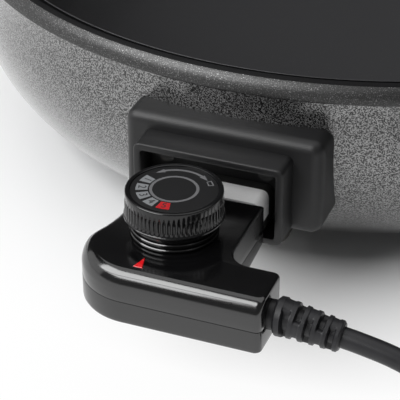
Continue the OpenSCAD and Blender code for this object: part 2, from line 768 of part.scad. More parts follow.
module socket_contacts() color("goldenrod") in_control()
    for (x = [-1, 1]) translate([x * lead_x, -nose_gap - 1, plug_z]) rotate([90, 0, 0]) difference() {
        cylinder(r = pin_d / 2 + 1.45, h = neck_end + nose_flange);
        translate([0, 0, -over]) cylinder(r = pin_d / 2 + plug_gap, h = neck_end);
    }

module sensor_probe() color("silver") in_row() {
    outward(0, plug_z, probe_tip_y + probe_r, block_front + neck_end + nose_flange + 0.3, probe_r);
    translate([0, -probe_tip_y - probe_r, plug_z]) sphere(probe_r);
}

module thermostat_frame() color("silver") in_control() {
    lug_x = 6;
    difference() {
        translate([-frame_half, -arm_end - 9, frame_z])
            cube([2 * frame_half, arm_end + 9 - arm_pivot + 1.9, frame_t]);
        translate([0, -dial_out, frame_z - over]) cylinder(r = bush_r + run_gap, h = 4);
    }
    for (x = [-1, 1])
        translate([x * (lug_x + 0.6) - 0.6, -arm_pivot - 3, arm_z - 2]) cube([1.2, 4.9, frame_z - arm_z + 2]);
    translate([-lug_x - 0.5, -arm_pivot, arm_z]) rotate([0, 90, 0]) cylinder(r = 1, h = 2 * lug_x + 1);
}

module switch_insulator() color("ivory") in_control()
    translate([-5, -arm_end - 9, contact_z() + 1.8]) cube([10, 8, frame_z - contact_z() - 1.8]);

// Underside of the fixed contact's button
function contact_z() = arm_z + arm_t / 2 + 0.9 + contact_gap;

module fixed_contact() color("goldenrod") in_control() {
    translate([-3, -arm_end - 9, contact_z() + 1]) cube([6, 12, 0.8]);
    translate([0, -arm_end, contact_z()]) cylinder(r = contact_r, h = 1.2);
}

module contact_arm() color("goldenrod") in_control() difference() {
    union() {
        translate([-4, -arm_end - 2.5, arm_z - arm_t / 2]) cube([8, arm_end - arm_pivot + 2.5, arm_t]);
        translate([-5.6, -arm_pivot, arm_z]) rotate([0, 90, 0]) cylinder(r = 2.1, h = 11.2);
        translate([0, -arm_end, arm_z]) cylinder(r = contact_r, h = arm_t / 2 + 0.9);
    }
    translate([-6, -arm_pivot, arm_z]) rotate([0, 90, 0]) cylinder(r = 1 + run_gap, h = 12);
}

module spindle_bush() color("goldenrod") at_dial() difference() {
    union() {
        translate([0, 0, frame_z - 1.4]) cylinder(r = bush_r, h = ctl_top + boss_h - frame_z + 1.2);
        translate([0, 0, frame_z - 1.4]) cylinder(r = bush_flange_r, h = 1.4);
    }
    translate([0, 0, frame_z - 2]) cylinder(r = spindle_r + run_gap, h = 40);
}

module dial_spindle() color("silver") at_dial() {
    tip_z = arm_z + arm_t / 2 + 0.4;
    translate([0, 0, tip_z]) cylinder(r = spindle_r, h = dial_z + dial_h - 2.5 - tip_z);
    translate([0, 0, frame_z - 3]) cylinder(r = spindle_r + 1.4, h = 1.3);
}

module temperature_dial() color([0.08, 0.08, 0.09]) at_dial() translate([0, 0, dial_z]) {
    skirt_h = 1.2;
    rib_h = dial_h * 0.6;
    rib_d = 0.7;
    edge_h = 0.6;
    tooth = [[0.1, 0], [0.28, 1], [0.6, 1], [0.78, 0]];
    difference() {
        union() {
            cylinder(r = dial_r + 0.5, h = skirt_h);
            linear_extrude(skirt_h + rib_h) polygon([
                for (i = [0:dial_ribs - 1], t = tooth)
                    let (a = (i + t[0]) * 360 / dial_ribs, r = dial_r - (1 - t[1]) * rib_d)
                    [r * cos(a), r * sin(a)]
            ]);
            cylinder(r = dial_r - 0.1, h = dial_h - edge_h);
            translate([0, 0, dial_h - edge_h]) cylinder(r1 = dial_r - 0.1, r2 = dial_r - 0.7, h = edge_h);
        }
        difference() {
            translate([0, 0, skirt_h]) rotate_extrude() translate([dial_r - rib_d, 0]) square([2, rib_h]);
            linear_extrude(skirt_h + rib_h) polygon([
                for (i = [0:dial_ribs - 1], t = tooth)
                    let (a = (i + t[0]) * 360 / dial_ribs, r = dial_r - (1 - t[1]) * rib_d)
                    [r * cos(a), r * sin(a)]
            ]);
        }
        translate([0, 0, dial_h - 0.6]) cylinder(r = face_r + run_gap, h = over);
        translate([0, 0, -over]) cylinder(r = spindle_r + 0.01, h = dial_h - 2.5 + over);
    }
}

module dial_face() color([0.15, 0.15, 0.16]) at_dial()
    translate([0, 0, dial_z + dial_h - 0.6]) cylinder(r = face_r, h = 0.6);

module pilot_lens() color("red") in_control()
    translate([0, 0, ceiling_z - 0.3]) linear_extrude(shell_t + 0.6) offset(delta = -0.1) polygon(pilot);

module pilot_lamp() color("orange") in_control() translate([-3, -80.4, plug_z + 2.3]) rotate([-90, 0, 0]) {
    cylinder(r = 2.5, h = 6.5);
    translate([0, 0, 6.5]) sphere(2.5);
}

module cord_clamp() color("silver") in_control() {
    clamp_z = relief_z + cord_r;
    difference() {
        translate([clamp_x - 2.8, -bar_c - clamp_half - 2.2, clamp_z]) cube([5.6, 2 * clamp_half + 4.4, 1.6]);
        for (p = clamp_posts) translate([p[0], p[1], clamp_z - over]) cylinder(r = 1.25 + screw_gap, h = 4);
    }
}

// Sheath of the lead inside the control, and its three conductors
wire_z = plug_z - 7.2;
wire_bend = 8;
contact_end = nose_gap + 1 + neck_end + nose_flange;

// Last stretch of a lead, from below the dial to the end of a contact
function to_contact(x) = [
    [x, -dial_out - wire_bend, wire_z], [x, -dial_out + wire_bend / 2, wire_z],
    [x, -dial_out + 1.25 * wire_bend, wire_z + 1.7],
    [x, -contact_end - 5, plug_z - 1.2], [x, -contact_end - 2.4, plug_z], [x, -contact_end - 0.05, plug_z]
];

module inner_leads() color("peru") in_control() {
    stub_x = clamp_x - 6;
    wire_r = 1.2;
    translate([stub_x, -bar_c, relief_z]) rotate([0, 90, 0])
        cylinder(r = cord_r, h = bar_right - shell_t - 2.8 - stub_x);
    line = concat([
        [stub_x, -bar_c + 2, relief_z], [stub_x - 7, -bar_c + 2.6, relief_z - 1.5],
        [lead_x + 4, -bar_c + 7, wire_z]
    ], to_contact(lead_x));
    neutral = concat([
        [stub_x, -bar_c - 0.6, relief_z - 2.2], [(stub_x + lead_x) / 2 + 1, -bar_c + 0.6, wire_z],
        [lead_x - 5, -bar_c + 2, wire_z], [6 - lead_x, -bar_c + 5, wire_z]
    ], to_contact(-lead_x));
    earth = [
        [stub_x, -bar_c - 1.5, relief_z + 1.5], [stub_x - wire_bend, -bar_c + 0.9, plug_z - 1],
        [lead_x + 5, -bar_c + 6.9, plug_z + 0.5], [lead_x + 2, -dial_out - wire_bend, plug_z + 2],
        [frame_half + 2.4, -dial_out - 2, plug_z + 2.6], [frame_half + 1.3, -dial_out + 2, plug_z + 2.6]
    ];
    for (path = [line, neutral, earth]) swept_tube(path, wire_r, 8);
}

module control_screws() color("silver") in_control() {
    for (p = shell_posts)
        translate([p[0], p[1], ctl_bottom + neck_lift + 1.5]) screw(1.25, ctl_split - ctl_bottom, 2.8, 1.8);
    for (p = clamp_posts)
        translate([p[0], p[1], relief_z + cord_r + 1.6]) rotate([180, 0, 0]) screw(1.25, 7.5, 2.2, 1.4);
}

// Lead, its coil and its plug

// Flexible sleeve: rings with gaps between them, joined on alternate sides
module strain_relief() color([0.2, 0.2, 0.21]) in_control() translate([bar_right, -bar_c, relief_z]) {
    rings = 5;
    ring_l = relief_l / rings;
    rotate([0, 90, 0]) {
        translate([0, 0, -shell_t]) cylinder(r = 6, h = shell_t);
        translate([0, 0, -shell_t - 2.8]) cylinder(r = 8, h = 2.8);
        translate([0, 0, -recess_d + run_gap]) cylinder(r = collar_r, h = collar_l + recess_d - run_gap);
    }
    translate([collar_l, 0, 0]) rotate([0, 90 + relief_tilt, 0]) {
        translate([0, 0, -0.6]) cylinder(r = 5, h = relief_l + 0.6);
        for (k = [0:rings - 1]) translate([0, 0, k * ring_l]) {
            translate([0, 0, ring_l * 0.45])
                cylinder(r1 = 7.5 - k * 0.28, r2 = 7.3 - k * 0.28, h = ring_l * 0.55);
            rotate([0, 0, 90 * (k % 2)]) translate([-2, -6.8 + k * 0.25, -0.4])
                cube([4, 13.6 - k * 0.5, ring_l * 0.6]);
        }
    }
}

module mains_cord() color([0.18, 0.18, 0.19]) in_control() {
    tilt = [cos(relief_tilt), 0, -sin(relief_tilt)];
    start = [bar_right + collar_l, -bar_c, relief_z] + relief_l * tilt;
    swept_tube(concat([start, start + 0.5 * cord_d * tilt], tail(cord_route)), cord_r, 12);
}

module cord_coil() color([0.18, 0.18, 0.19]) in_control() swept_tube(coil_path, cord_r, 6);

// Band around the turns, on the coil's far side
module cord_tie() color([0.1, 0.1, 0.1]) in_control() {
    inner = coil_r - coil_pitch * coil_turns / 2 - cord_r - 0.8;
    outer = coil_r + cord_r + 0.5;
    low = coil_start[2] - cord_r - 0.2;
    high = coil_start[2] + coil_pitch + cord_r + 0.3;
    translate([coil_c[0] + (inner + outer) / 2, coil_c[1] + tie_w / 2, (low + high) / 2]) rotate([90, 0, 0])
        linear_extrude(tie_w) difference() {
            rounded_rect(outer - inner + 2 * tie_t, high - low + 2 * tie_t, 2.5);
            rounded_rect(outer - inner, high - low, 1.6);
        }
}

// Angled earthed plug, lying on its back with the pins up
module plug_body() color([0.15, 0.15, 0.16]) in_control() translate([plug_x, coil_end[1], 0]) difference() {
    union() {
        cylinder(r1 = plug_r - 2, r2 = plug_r, h = 3);
        translate([0, 0, 3]) cylinder(r = plug_r, h = plug_h - 3);
        translate([plug_r - 3, 0, coil_end[2]]) rotate([0, 90, 0])
            cylinder(r1 = 7.4, r2 = cord_r + 0.8, h = plug_neck_l);
    }
    for (s = [-1, 1]) translate([-4, s * (plug_r - 1.5) - 2, plug_h - 16]) cube([8, 4, 17]);
    translate([6.5, 0, plug_h - 14]) cylinder(r = 2.6, h = 15);
    for (s = [-1, 1]) translate([0, s * plug_pin_half, plug_h - 8]) cylinder(r = pin_root_r + 0.01, h = 9);
}

module plug_pins() color("silver") in_control()
    for (s = [-1, 1]) translate([plug_x, coil_end[1] + s * plug_pin_half, plug_h - 8]) {
        cylinder(r = pin_root_r, h = 8 + pin_shoulder);
        translate([0, 0, 8 + pin_shoulder]) cylinder(r = plug_pin_r, h = plug_pin_l - pin_shoulder - 2);
        translate([0, 0, 6 + plug_pin_l]) cylinder(r1 = plug_pin_r, r2 = plug_pin_r - 1, h = 2);
    }

module plug_earth_clips() color("silver") in_control()
    for (s = [-1, 1])
        translate([plug_x - 3.4, coil_end[1] + s * (plug_r - 3) - 0.5, plug_h - 16]) cube([6.8, 1, 16]);

pan_body();
heating_element();
terminal_pins();
terminal_insulators();
earth_contact();
probe_guide();
socket_housing();
socket_screws();
left_handle();
right_handle();
handle_screws();
feet();
foot_screws();
foot_pads();
control_upper_housing();
control_lower_housing();
plug_nose();
earth_shell();
socket_contacts();
sensor_probe();
thermostat_frame();
switch_insulator();
fixed_contact();
contact_arm();
spindle_bush();
pilot_lens();
pilot_lamp();
cord_clamp();
inner_leads();
control_screws();
temperature_dial();
dial_face();
dial_spindle();
strain_relief();
mains_cord();
cord_coil();
cord_tie();
plug_body();
plug_pins();
plug_earth_clips();
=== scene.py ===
import math

import bmesh
import bpy
from mathutils import Matrix, Vector


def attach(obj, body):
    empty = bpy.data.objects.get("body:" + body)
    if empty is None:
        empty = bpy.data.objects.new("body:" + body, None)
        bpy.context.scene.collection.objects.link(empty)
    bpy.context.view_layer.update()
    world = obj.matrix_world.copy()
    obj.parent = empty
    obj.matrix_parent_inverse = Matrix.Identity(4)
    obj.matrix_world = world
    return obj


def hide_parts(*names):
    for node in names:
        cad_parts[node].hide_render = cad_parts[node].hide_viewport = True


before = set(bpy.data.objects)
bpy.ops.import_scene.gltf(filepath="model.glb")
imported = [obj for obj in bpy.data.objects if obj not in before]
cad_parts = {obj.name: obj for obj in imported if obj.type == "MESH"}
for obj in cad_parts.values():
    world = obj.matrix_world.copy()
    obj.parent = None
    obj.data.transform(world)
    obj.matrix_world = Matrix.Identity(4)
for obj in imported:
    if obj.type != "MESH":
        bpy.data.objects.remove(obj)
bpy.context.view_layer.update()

scene = bpy.context.scene
scene.view_settings.view_transform = "Standard"

# Sizes in millimetres, as in the part's source

MM = 0.001
ROW_Y = 47.4  # the pan's axis, from the frame's origin
FRONT = 210.0  # the socket block's face, from the pan's axis
PLUG_Z = 61.0  # height of the pins and the probe
DIAL_OUT = 48.0  # the dial's axis, from the block's face
CTL_TOP = 69.0
CTL_SPLIT = 56.0
CTL_BOTTOM = 46.0
RIM_LOW = 102.0
RIM_TOP = 110.5
HANDLE_Z = 88.0
HANDLE_HALF = 48.0  # half the distance between a handle's ends


def pan_pt(x, y, z):
    """A point drawn around the pan's axis, in the frame's metres."""
    return Vector((x, y + ROW_Y, z)) * MM


def ctl_pt(x, y, z):
    """A point of the control, measured from the socket block's face."""
    return Vector((x, y - FRONT + ROW_Y, z)) * MM


def dial_pt(x, y, z):
    """A point drawn around the dial's axis."""
    return ctl_pt(x, y - DIAL_OUT, z)


# Camera, fitted to the photo

PICTURE_W = 400  # pixels
FOCAL = 1700  # pixels
SENSOR_W = 36
EYE = Vector((0.2153, -0.7806 + ROW_Y * MM, 0.3343 + RIM_LOW * MM))
VIEW_TURN = math.radians(21.37)
VIEW_DOWN = math.radians(32.03)
right = Vector((math.cos(VIEW_TURN), math.sin(VIEW_TURN), 0))
forward = Vector((
    -math.sin(VIEW_TURN) * math.cos(VIEW_DOWN),
    math.cos(VIEW_TURN) * math.cos(VIEW_DOWN),
    -math.sin(VIEW_DOWN),
))
upward = right.cross(forward)
lens = bpy.data.cameras.new("camera")
lens.sensor_width = SENSOR_W
lens.lens = SENSOR_W * FOCAL / PICTURE_W
lens.clip_start = 0.01
camera = bpy.data.objects.new("camera", lens)
camera.matrix_world = Matrix((
    (right.x, upward.x, -forward.x, EYE.x),
    (right.y, upward.y, -forward.y, EYE.y),
    (right.z, upward.z, -forward.z, EYE.z),
    (0, 0, 0, 1),
))
scene.collection.objects.link(camera)
scene.camera = camera

# Lead: a free stretch from the strain relief, then the tied coil

CORD_D = 8.4
BAR_BACK = 61.0
BAR_FRONT = 84.8
BAR_RIGHT = 52.0
BAR_C = (BAR_BACK + BAR_FRONT) / 2
RELIEF_Z = PLUG_Z - 3.5
RELIEF_TILT = math.radians(8)
RELIEF_L = 22.6
COLLAR_L = 3.6
LEAD_POINTS = (
    (86, -72.9, 53.1), (94, -73, 51.6), (101, -73.2, 49.8),
    (112, -73.8, 46), (124, -75, 40), (136, -76.5, 32),
    (148, -78, 23.2), (160, -79.3, 15), (172, -80, 9.2),
    (184, -80, 6.4), (196, -80, 5.5), (204, -80, 5.5),
)
LEAD_STEP = 3
COIL_TURNS = 4.5
COIL_STEPS = 48  # points on each turn
COIL_R = 54.0
COIL_PITCH = CORD_D + 0.6
TAIL_L = CORD_D + 4.6
tilt = Vector((math.cos(RELIEF_TILT), 0, -math.sin(RELIEF_TILT)))
relief_end = Vector((BAR_RIGHT + COLLAR_L, -BAR_C, RELIEF_Z)) + RELIEF_L * tilt
cord_route = [relief_end, relief_end + 0.5 * CORD_D * tilt] + [Vector(p) for p in LEAD_POINTS]
coil_start = cord_route[-1]
coil_c = Vector((coil_start.x + CORD_D, coil_start.y + COIL_R, 0))


def smooth(t):
    """A soft step from 0 to 1."""
    t = min(max(t, 0), 1)
    return t * t * (3 - 2 * t)


def coil_point(t):
    """A point of the coil after t turns: inwards on the table, then outwards one layer higher."""
    r = COIL_R - COIL_PITCH * min(t, COIL_TURNS - t)
    a = math.radians(360 * t - 90)
    z = coil_start.z + COIL_PITCH * smooth((t - COIL_TURNS / 2) * 2 + 0.5)
    return Vector((coil_c.x + r * math.cos(a), coil_c.y + r * math.sin(a), z))


def rounded_path(points, step):
    """Points along a smooth curve through the given ones."""
    out = []
    for i in range(len(points) - 1):
        p0, p1, p2, p3 = (points[min(max(i + k, 0), len(points) - 1)] for k in (-1, 0, 1, 2))
        n = max(1, round((p2 - p1).length / step))
        for j in range(n):
            t = j / n
            out.append(0.5 * (
                2 * p1 + (p2 - p0) * t + (2 * p0 - 5 * p1 + 4 * p2 - p3) * t * t
                + (3 * p1 - p0 - 3 * p2 + p3) * t ** 3
            ))
    return out + [points[-1]]


cord_points = rounded_path(cord_route, LEAD_STEP)
cord_points += [coil_point(i / COIL_STEPS) for i in range(round(COIL_TURNS * COIL_STEPS) + 1)]
cord_points.append(coil_point(COIL_TURNS) - Vector((TAIL_L, 0, 0)))
cord_points = [ctl_pt(*p) for p in cord_points]

# Materials


def gray(v):
    return (v, v, v)


class Shader:
    """A material with a few short ways to add its nodes."""

    def __init__(self, name, color, rough, metallic=0.0, coat=0.0, coat_rough=0.05, specular=0.5):
        self.mat = bpy.data.materials.new(name)
        self.mat.use_nodes = True
        self.tree = self.mat.node_tree
        self.bsdf = self.tree.nodes["Principled BSDF"]
        self.bsdf.inputs["Base Color"].default_value = (*color, 1)
        self.bsdf.inputs["Roughness"].default_value = rough
        self.bsdf.inputs["Metallic"].default_value = metallic
        self.bsdf.inputs["Coat Weight"].default_value = coat
        self.bsdf.inputs["Coat Roughness"].default_value = coat_rough
        self.bsdf.inputs["Specular IOR Level"].default_value = specular
        self.coords = self.add("ShaderNodeTexCoord").outputs["Object"]

    def add(self, kind, **values):
        node = self.tree.nodes.new(kind)
        for key, value in values.items():
            setattr(node, key, value)
        return node

    def link(self, a, b):
        self.tree.links.new(a, b)

    def noise(self, scale, detail=2.0, rough=0.5, stretch=None):
        """A cloudy pattern in the piece's own coordinates, which stretch may draw out."""
        n = self.add("ShaderNodeTexNoise")
        n.inputs["Scale"].default_value = scale
        n.inputs["Detail"].default_value = detail
        n.inputs["Roughness"].default_value = rough
        if stretch:
            m = self.add("ShaderNodeMapping")
            m.inputs["Scale"].default_value = stretch
            self.link(self.coords, m.inputs["Vector"])
            self.link(m.outputs["Vector"], n.inputs["Vector"])
        else:
            self.link(self.coords, n.inputs["Vector"])
        return n.outputs["Fac"]

    def cells(self, scale):
        """Distance from the middle of scattered dots."""
        n = self.add("ShaderNodeTexVoronoi")
        n.inputs["Scale"].default_value = scale
        self.link(self.coords, n.inputs["Vector"])
        return n.outputs["Distance"]

    def ramp(self, fac, *stops):
        """Grays along a pattern, given as places with their values."""
        n = self.add("ShaderNodeValToRGB")
        while len(n.color_ramp.elements) < len(stops):
            n.color_ramp.elements.new(0.5)
        for element, (at, value) in zip(n.color_ramp.elements, stops):
            element.position = at
            element.color = (*gray(value), 1)
        self.link(fac, n.inputs["Fac"])
        return n.outputs["Color"]

    def mix(self, fac, a, b, blend="MIX"):
        """Two colours or sockets mixed by a number or a socket."""
        n = self.add("ShaderNodeMix", data_type="RGBA", blend_type=blend)
        if isinstance(fac, float):
            n.inputs["Factor"].default_value = fac
        else:
            self.link(fac, n.inputs["Factor"])
        for socket, value in ((n.inputs[6], a), (n.inputs[7], b)):
            if isinstance(value, tuple):
                socket.default_value = (*value, 1)
            else:
                self.link(value, socket)
        return n.outputs[2]

    def shades(self, fac, start, end, base, low, high):
        """The base colour, from low to high times as bright where the pattern goes from start to end."""
        share = self.ramp(fac, (start, 0.0), (end, 1.0))
        return self.mix(share, tuple(low * c for c in base), tuple(high * c for c in base))

    def color(self, socket):
        self.link(socket, self.bsdf.inputs["Base Color"])

    def rough(self, fac, low, high):
        """Roughness from low to high along a pattern."""
        n = self.add("ShaderNodeMapRange")
        n.inputs["To Min"].default_value = low
        n.inputs["To Max"].default_value = high
        self.link(fac, n.inputs["Value"])
        self.link(n.outputs["Result"], self.bsdf.inputs["Roughness"])

    def bump(self, height, strength, distance):
        n = self.add("ShaderNodeBump")
        n.inputs["Strength"].default_value = strength
        n.inputs["Distance"].default_value = distance
        self.link(height, n.inputs["Height"])
        self.link(n.outputs["Normal"], self.bsdf.inputs["Normal"])


def wall_enamel():
    """Speckled metal gray under a soft clear coat."""
    s = Shader("wall_enamel", gray(0.3), 0.4, metallic=0.75, coat=1.0, coat_rough=0.2)
    grain = s.noise(1600, detail=1.0, rough=0.4)
    drift = s.noise(55, detail=2)
    speck = s.ramp(grain, (0.38, 0.003), (0.46, 0.03), (0.52, 0.20), (0.63, 0.27))
    s.color(s.mix(s.ramp(drift, (0.3, 0.0), (0.7, 0.18)), speck, gray(0.11)))
    s.rough(grain, low=0.16, high=0.30)
    s.bump(grain, strength=0.15, distance=0.0003)
    return s.mat


def rim_coating():
    """Dark coating with metal flakes that glint where the light falls on the edge."""
    s = Shader("rim_coating", gray(0.04), 0.4, metallic=0.90)
    flakes = s.noise(2300, detail=1.5, rough=0.5)
    wide = s.noise(240, detail=2)
    glint = s.ramp(flakes, (0.45, 0.06), (0.60, 0.085), (0.72, 0.30))
    s.color(s.mix(s.ramp(wide, (0.35, 0.0), (0.7, 0.35)), glint, gray(0.06)))
    s.rough(flakes, low=0.40, high=0.48)
    s.bump(flakes, strength=0.14, distance=0.0003)
    return s.mat


def coating(name, base, sparkle, rough, specular=0.5):
    """Dark non-stick coating with a few light dots; made much darker, it also paints the shade of the lid
    groove.
    """
    s = Shader(name, base, rough, specular=specular)
    fine = s.noise(1900, detail=2, rough=0.6)
    spots = s.ramp(s.cells(620), (0.06, 1.0), (0.16, 0.0))
    keep = s.ramp(s.noise(310, detail=0), (0.52, 0.0), (0.58, 1.0))
    ground = s.shades(fine, 0.35, 0.65, base, low=0.8, high=1.2)
    s.color(s.mix(s.mix(1.0, spots, keep, "MULTIPLY"), ground, sparkle))
    s.rough(fine, rough - 0.05, rough + 0.08)
    s.bump(fine, strength=0.25, distance=0.0002)
    return s.mat


def matte_plastic(name, base, rough, grain=2600):
    """Moulded plastic with a fine grain."""
    s = Shader(name, base, rough, specular=0.45)
    fine = s.noise(grain, detail=2, rough=0.6)
    cloud = s.noise(35, detail=3)
    s.color(s.shades(cloud, 0.3, 0.75, base, low=0.88, high=1.14))
    s.rough(cloud, rough - 0.04, rough + 0.06)
    s.bump(fine, strength=0.22, distance=0.00012)
    return s.mat


def gloss_plastic(name, base, rough, specular=0.5):
    """Polished plastic with a slight wave and a light haze."""
    s = Shader(name, base, rough, specular=specular)
    wave = s.noise(45, detail=2)
    haze = s.noise(220, detail=3)
    s.color(s.shades(wave, 0.3, 0.7, base, low=0.85, high=1.15))
    s.rough(haze, rough * 0.8, rough * 1.3)
    s.bump(wave, strength=0.05, distance=0.0004)
    return s.mat


def metal(name, base, rough, stretch=(1, 1, 1), grain=900):
    """Bare metal with fine lines or grain."""
    s = Shader(name, base, rough, metallic=1.0)
    lines = s.noise(grain, detail=2, rough=0.6, stretch=stretch)
    s.color(s.shades(lines, 0.3, 0.7, base, low=0.85, high=1.08))
    s.rough(lines, rough * 0.8, rough * 1.35)
    s.bump(lines, strength=0.08, distance=0.0001)
    return s.mat


def satin(name, base, rough):
    """Matt plated sheet, which stays bright where it faces dark surroundings."""
    s = Shader(name, base, rough, metallic=0.35)
    lines = s.noise(420, detail=2, rough=0.6, stretch=(1, 8, 1))
    s.color(s.shades(lines, 0.3, 0.7, base, low=0.94, high=1.0))
    s.rough(lines, rough * 0.85, rough * 1.2)
    return s.mat


def rubber(name, base, rough=0.5):
    """Soft sheath with a fine grain."""
    s = Shader(name, base, rough, specular=0.4)
    fine = s.noise(1500, detail=2, rough=0.6)
    wide = s.noise(90, detail=2)
    s.color(s.shades(wide, 0.3, 0.7, base, low=0.85, high=1.18))
    s.rough(wide, rough - 0.06, rough + 0.08)
    s.bump(fine, strength=0.2, distance=0.00015)
    return s.mat


def printed(name, base, rough=0.45):
    """Ink with a little unevenness."""
    s = Shader(name, base, rough)
    fine = s.noise(2400, detail=2)
    s.color(s.shades(fine, 0.35, 0.65, base, low=0.9, high=1.08))
    s.rough(fine, rough - 0.05, rough + 0.05)
    return s.mat


MATERIALS = {
    "wall": wall_enamel(),
    "inside": coating("inside_coating", (0.034, 0.034, 0.036), gray(0.10), 0.40),
    "rim": rim_coating(),
    # Painted shade: a near-black coating with little sheen stands in for the shade in the lid groove and on
    # the band of the rim beside it
    "groove": coating("groove_painted_shade", (0.0045, 0.0045, 0.005), gray(0.012), 0.55, 0.12),
    "block": matte_plastic("block_plastic", (0.0085, 0.0085, 0.0091), 0.45),
    "handle": matte_plastic("handle_plastic", (0.020, 0.020, 0.021), 0.45),
    "gloss": gloss_plastic("gloss_black", (0.0030, 0.0030, 0.0033), 0.15, 1.0),
    "dial": gloss_plastic("dial_black", (0.0055, 0.0055, 0.006), 0.17),
    "face": matte_plastic("dial_disc", (0.009, 0.009, 0.0096), 0.36, 3200),
    "print_gray": printed("print_gray", (0.20, 0.208, 0.217)),
    "print_line": printed("print_line", (0.13, 0.13, 0.135)),
    "print_red": printed("print_red", (0.44, 0.009, 0.013)),
    "print_dark": printed("print_dark", (0.02, 0.02, 0.021)),
    "lens": gloss_plastic("lens_red", (0.66, 0.010, 0.014), 0.12),
    "nose": matte_plastic("nose_plastic", (0.012, 0.012, 0.012), 0.5),
    "shell": satin("shell_metal", (0.90, 0.90, 0.90), 0.34),
    "bright": metal("bright_metal", (0.86, 0.86, 0.86), 0.16, (1, 8, 1), 500),
    "steel": metal("screw_steel", (0.55, 0.55, 0.54), 0.32),
    "heater": metal("heater_tube", (0.20, 0.19, 0.175), 0.5),
    "brass": metal("contact_brass", (0.70, 0.50, 0.20), 0.3),
    "ceramic": matte_plastic("ceramic", (0.74, 0.71, 0.63), 0.4, 1500),
    "cord": rubber("cord_rubber", (0.017, 0.017, 0.019), 0.42),
    "pad": rubber("pad_rubber", (0.022, 0.022, 0.022), 0.6),
    "wire": rubber("wire_sheath", (0.25, 0.13, 0.05), 0.5),
    "lamp": gloss_plastic("lamp_glass", (0.75, 0.42, 0.22), 0.08),
}

# Mesh helpers

BOTH_CAPS = (True, True)
LAST_CAP = (False, True)
NO_CAPS = (False, False)
STUD_SIDES = 28
ROUND_SIDES = 128


def piece(name, bm, mats, body, replaced, sharp=32):
    """Turns a bmesh into a piece of the object, smooth apart from its sharp edges."""
    bmesh.ops.remove_doubles(bm, verts=bm.verts, dist=1e-7)
    bmesh.ops.recalc_face_normals(bm, faces=bm.faces)
    bm.normal_update()
    limit = math.radians(sharp)
    for f in bm.faces:
        f.smooth = True
    for e in bm.edges:
        e.smooth = not (len(e.link_faces) == 2 and e.calc_face_angle(0) > limit)
    mesh = bpy.data.meshes.new(name)
    bm.to_mesh(mesh)
    bm.free()
    for m in mats:
        mesh.materials.append(MATERIALS[m])
    ob = bpy.data.objects.new(name, mesh)
    scene.collection.objects.link(ob)
    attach(ob, body)
    if replaced:
        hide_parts(*replaced)
    return ob


def loft(bm, rings, caps=BOTH_CAPS, zones=None):
    """Faces between closed rings of points; zones gives one material for each gap."""
    vs = [[bm.verts.new(p) for p in ring] for ring in rings]
    n = len(vs[0])
    for k in range(len(vs) - 1):
        for i in range(n):
            j = (i + 1) % n
            f = bm.faces.new((vs[k][i], vs[k][j], vs[k + 1][j], vs[k + 1][i]))
            if zones:
                f.material_index = zones[k]
    if caps[0]:
        bm.faces.new(list(reversed(vs[0])))
    if caps[1]:
        bm.faces.new(vs[-1])
    return vs


def circle(r, n, place, z):
    """A ring of n points around an upright axis; place maps x, y, z."""
    angles = [2 * math.pi * i / n for i in range(n)]
    return [place(r * math.cos(a), r * math.sin(a), z) for a in angles]


def revolve(bm, profile, n, place, zones=None):
    """Turns [r, z] points around an upright axis."""
    return loft(bm, [circle(r, n, place, z) for r, z in profile], NO_CAPS, zones)


def arc(cx, cy, r, a0, a1, n):
    """Points on a circle from one angle in degrees to another, in n steps."""
    angles = [math.radians(a0 + (a1 - a0) * i / n) for i in range(n + 1)]
    return [(cx + r * math.cos(a), cy + r * math.sin(a)) for a in angles]


def rounded_rect(w, h, r, n=6):
    """Anticlockwise outline of a rectangle with round corners around the origin."""
    x, y = w / 2 - r, h / 2 - r
    out = []
    for k, (cx, cy) in enumerate(((x, y), (-x, y), (-x, -y), (x, -y))):
        out += arc(cx, cy, r, 90 * k, 90 * k + 90, n)
    return out


def inset(points, d):
    """The outline moved inwards by d, kept anticlockwise."""
    out = []
    n = len(points)
    for i in range(n):
        p, q, s = Vector(points[i - 1]), Vector(points[i]), Vector(points[(i + 1) % n])
        u, v = (q - p).normalized(), (s - q).normalized()
        a, b = Vector((-u.y, u.x)), Vector((-v.y, v.x))
        m = (a + b).normalized()
        q = q + m * (d / max(0.3, m.dot(a)))
        out.append((q.x, q.y))
    return out


def stud(bm, place, r, length):
    """A short round post with a small edge at its end; place maps two sideways sizes and the height."""
    edge = min(0.5, r / 6)
    profile = ((r, 0), (r, length - edge), (r - edge, length))
    loft(bm, [circle(rr, STUD_SIDES, place, h) for rr, h in profile])


# Pan: one profile turned around the axis, in four zones of material, one of them painted shade in the
# groove

PAN_SIDES = 320
HUB_R = 1.0
BASE_R = 162.0
FLOOR_LOW = 16.0
FLOOR_TOP = 20.5
SIDE_R = 199.5
BEND_Z = 82.0  # the wall is upright from here
WALL = 5.0
INNER_R = SIDE_R - WALL
BEND_R = ((SIDE_R - BASE_R) ** 2 + (BEND_Z - FLOOR_LOW) ** 2) / (2 * (SIDE_R - BASE_R))
BEND_C = SIDE_R - BEND_R
RIM_R = 200.0
RIM_ROUND = 9.0
RIM_ROUND_Z = 102.44
BAND_START = 50  # degrees up the rim's round, where the painted shade along the groove starts
BAND_END = 63.6
GROOVE_OUT = 194.9
GROOVE_IN = 191.4
GROOVE_Z = 107.5
GROOVE_EDGE = 0.3
LIP_R = 190.5
LIP_TOP = 109.3
LIP_LOW = 102.8
SLOPE_END = 98.6
ON_WALL, ON_RIM, ON_INSIDE, ON_GROOVE_SHADE = range(4)


def wall_arc(r, low):
    """The side wall's lower bend, from a height up to where it is upright."""
    a = -math.degrees(math.asin((BEND_Z - low) / r))
    return arc(BEND_C, BEND_Z, r, a, 0, 26)


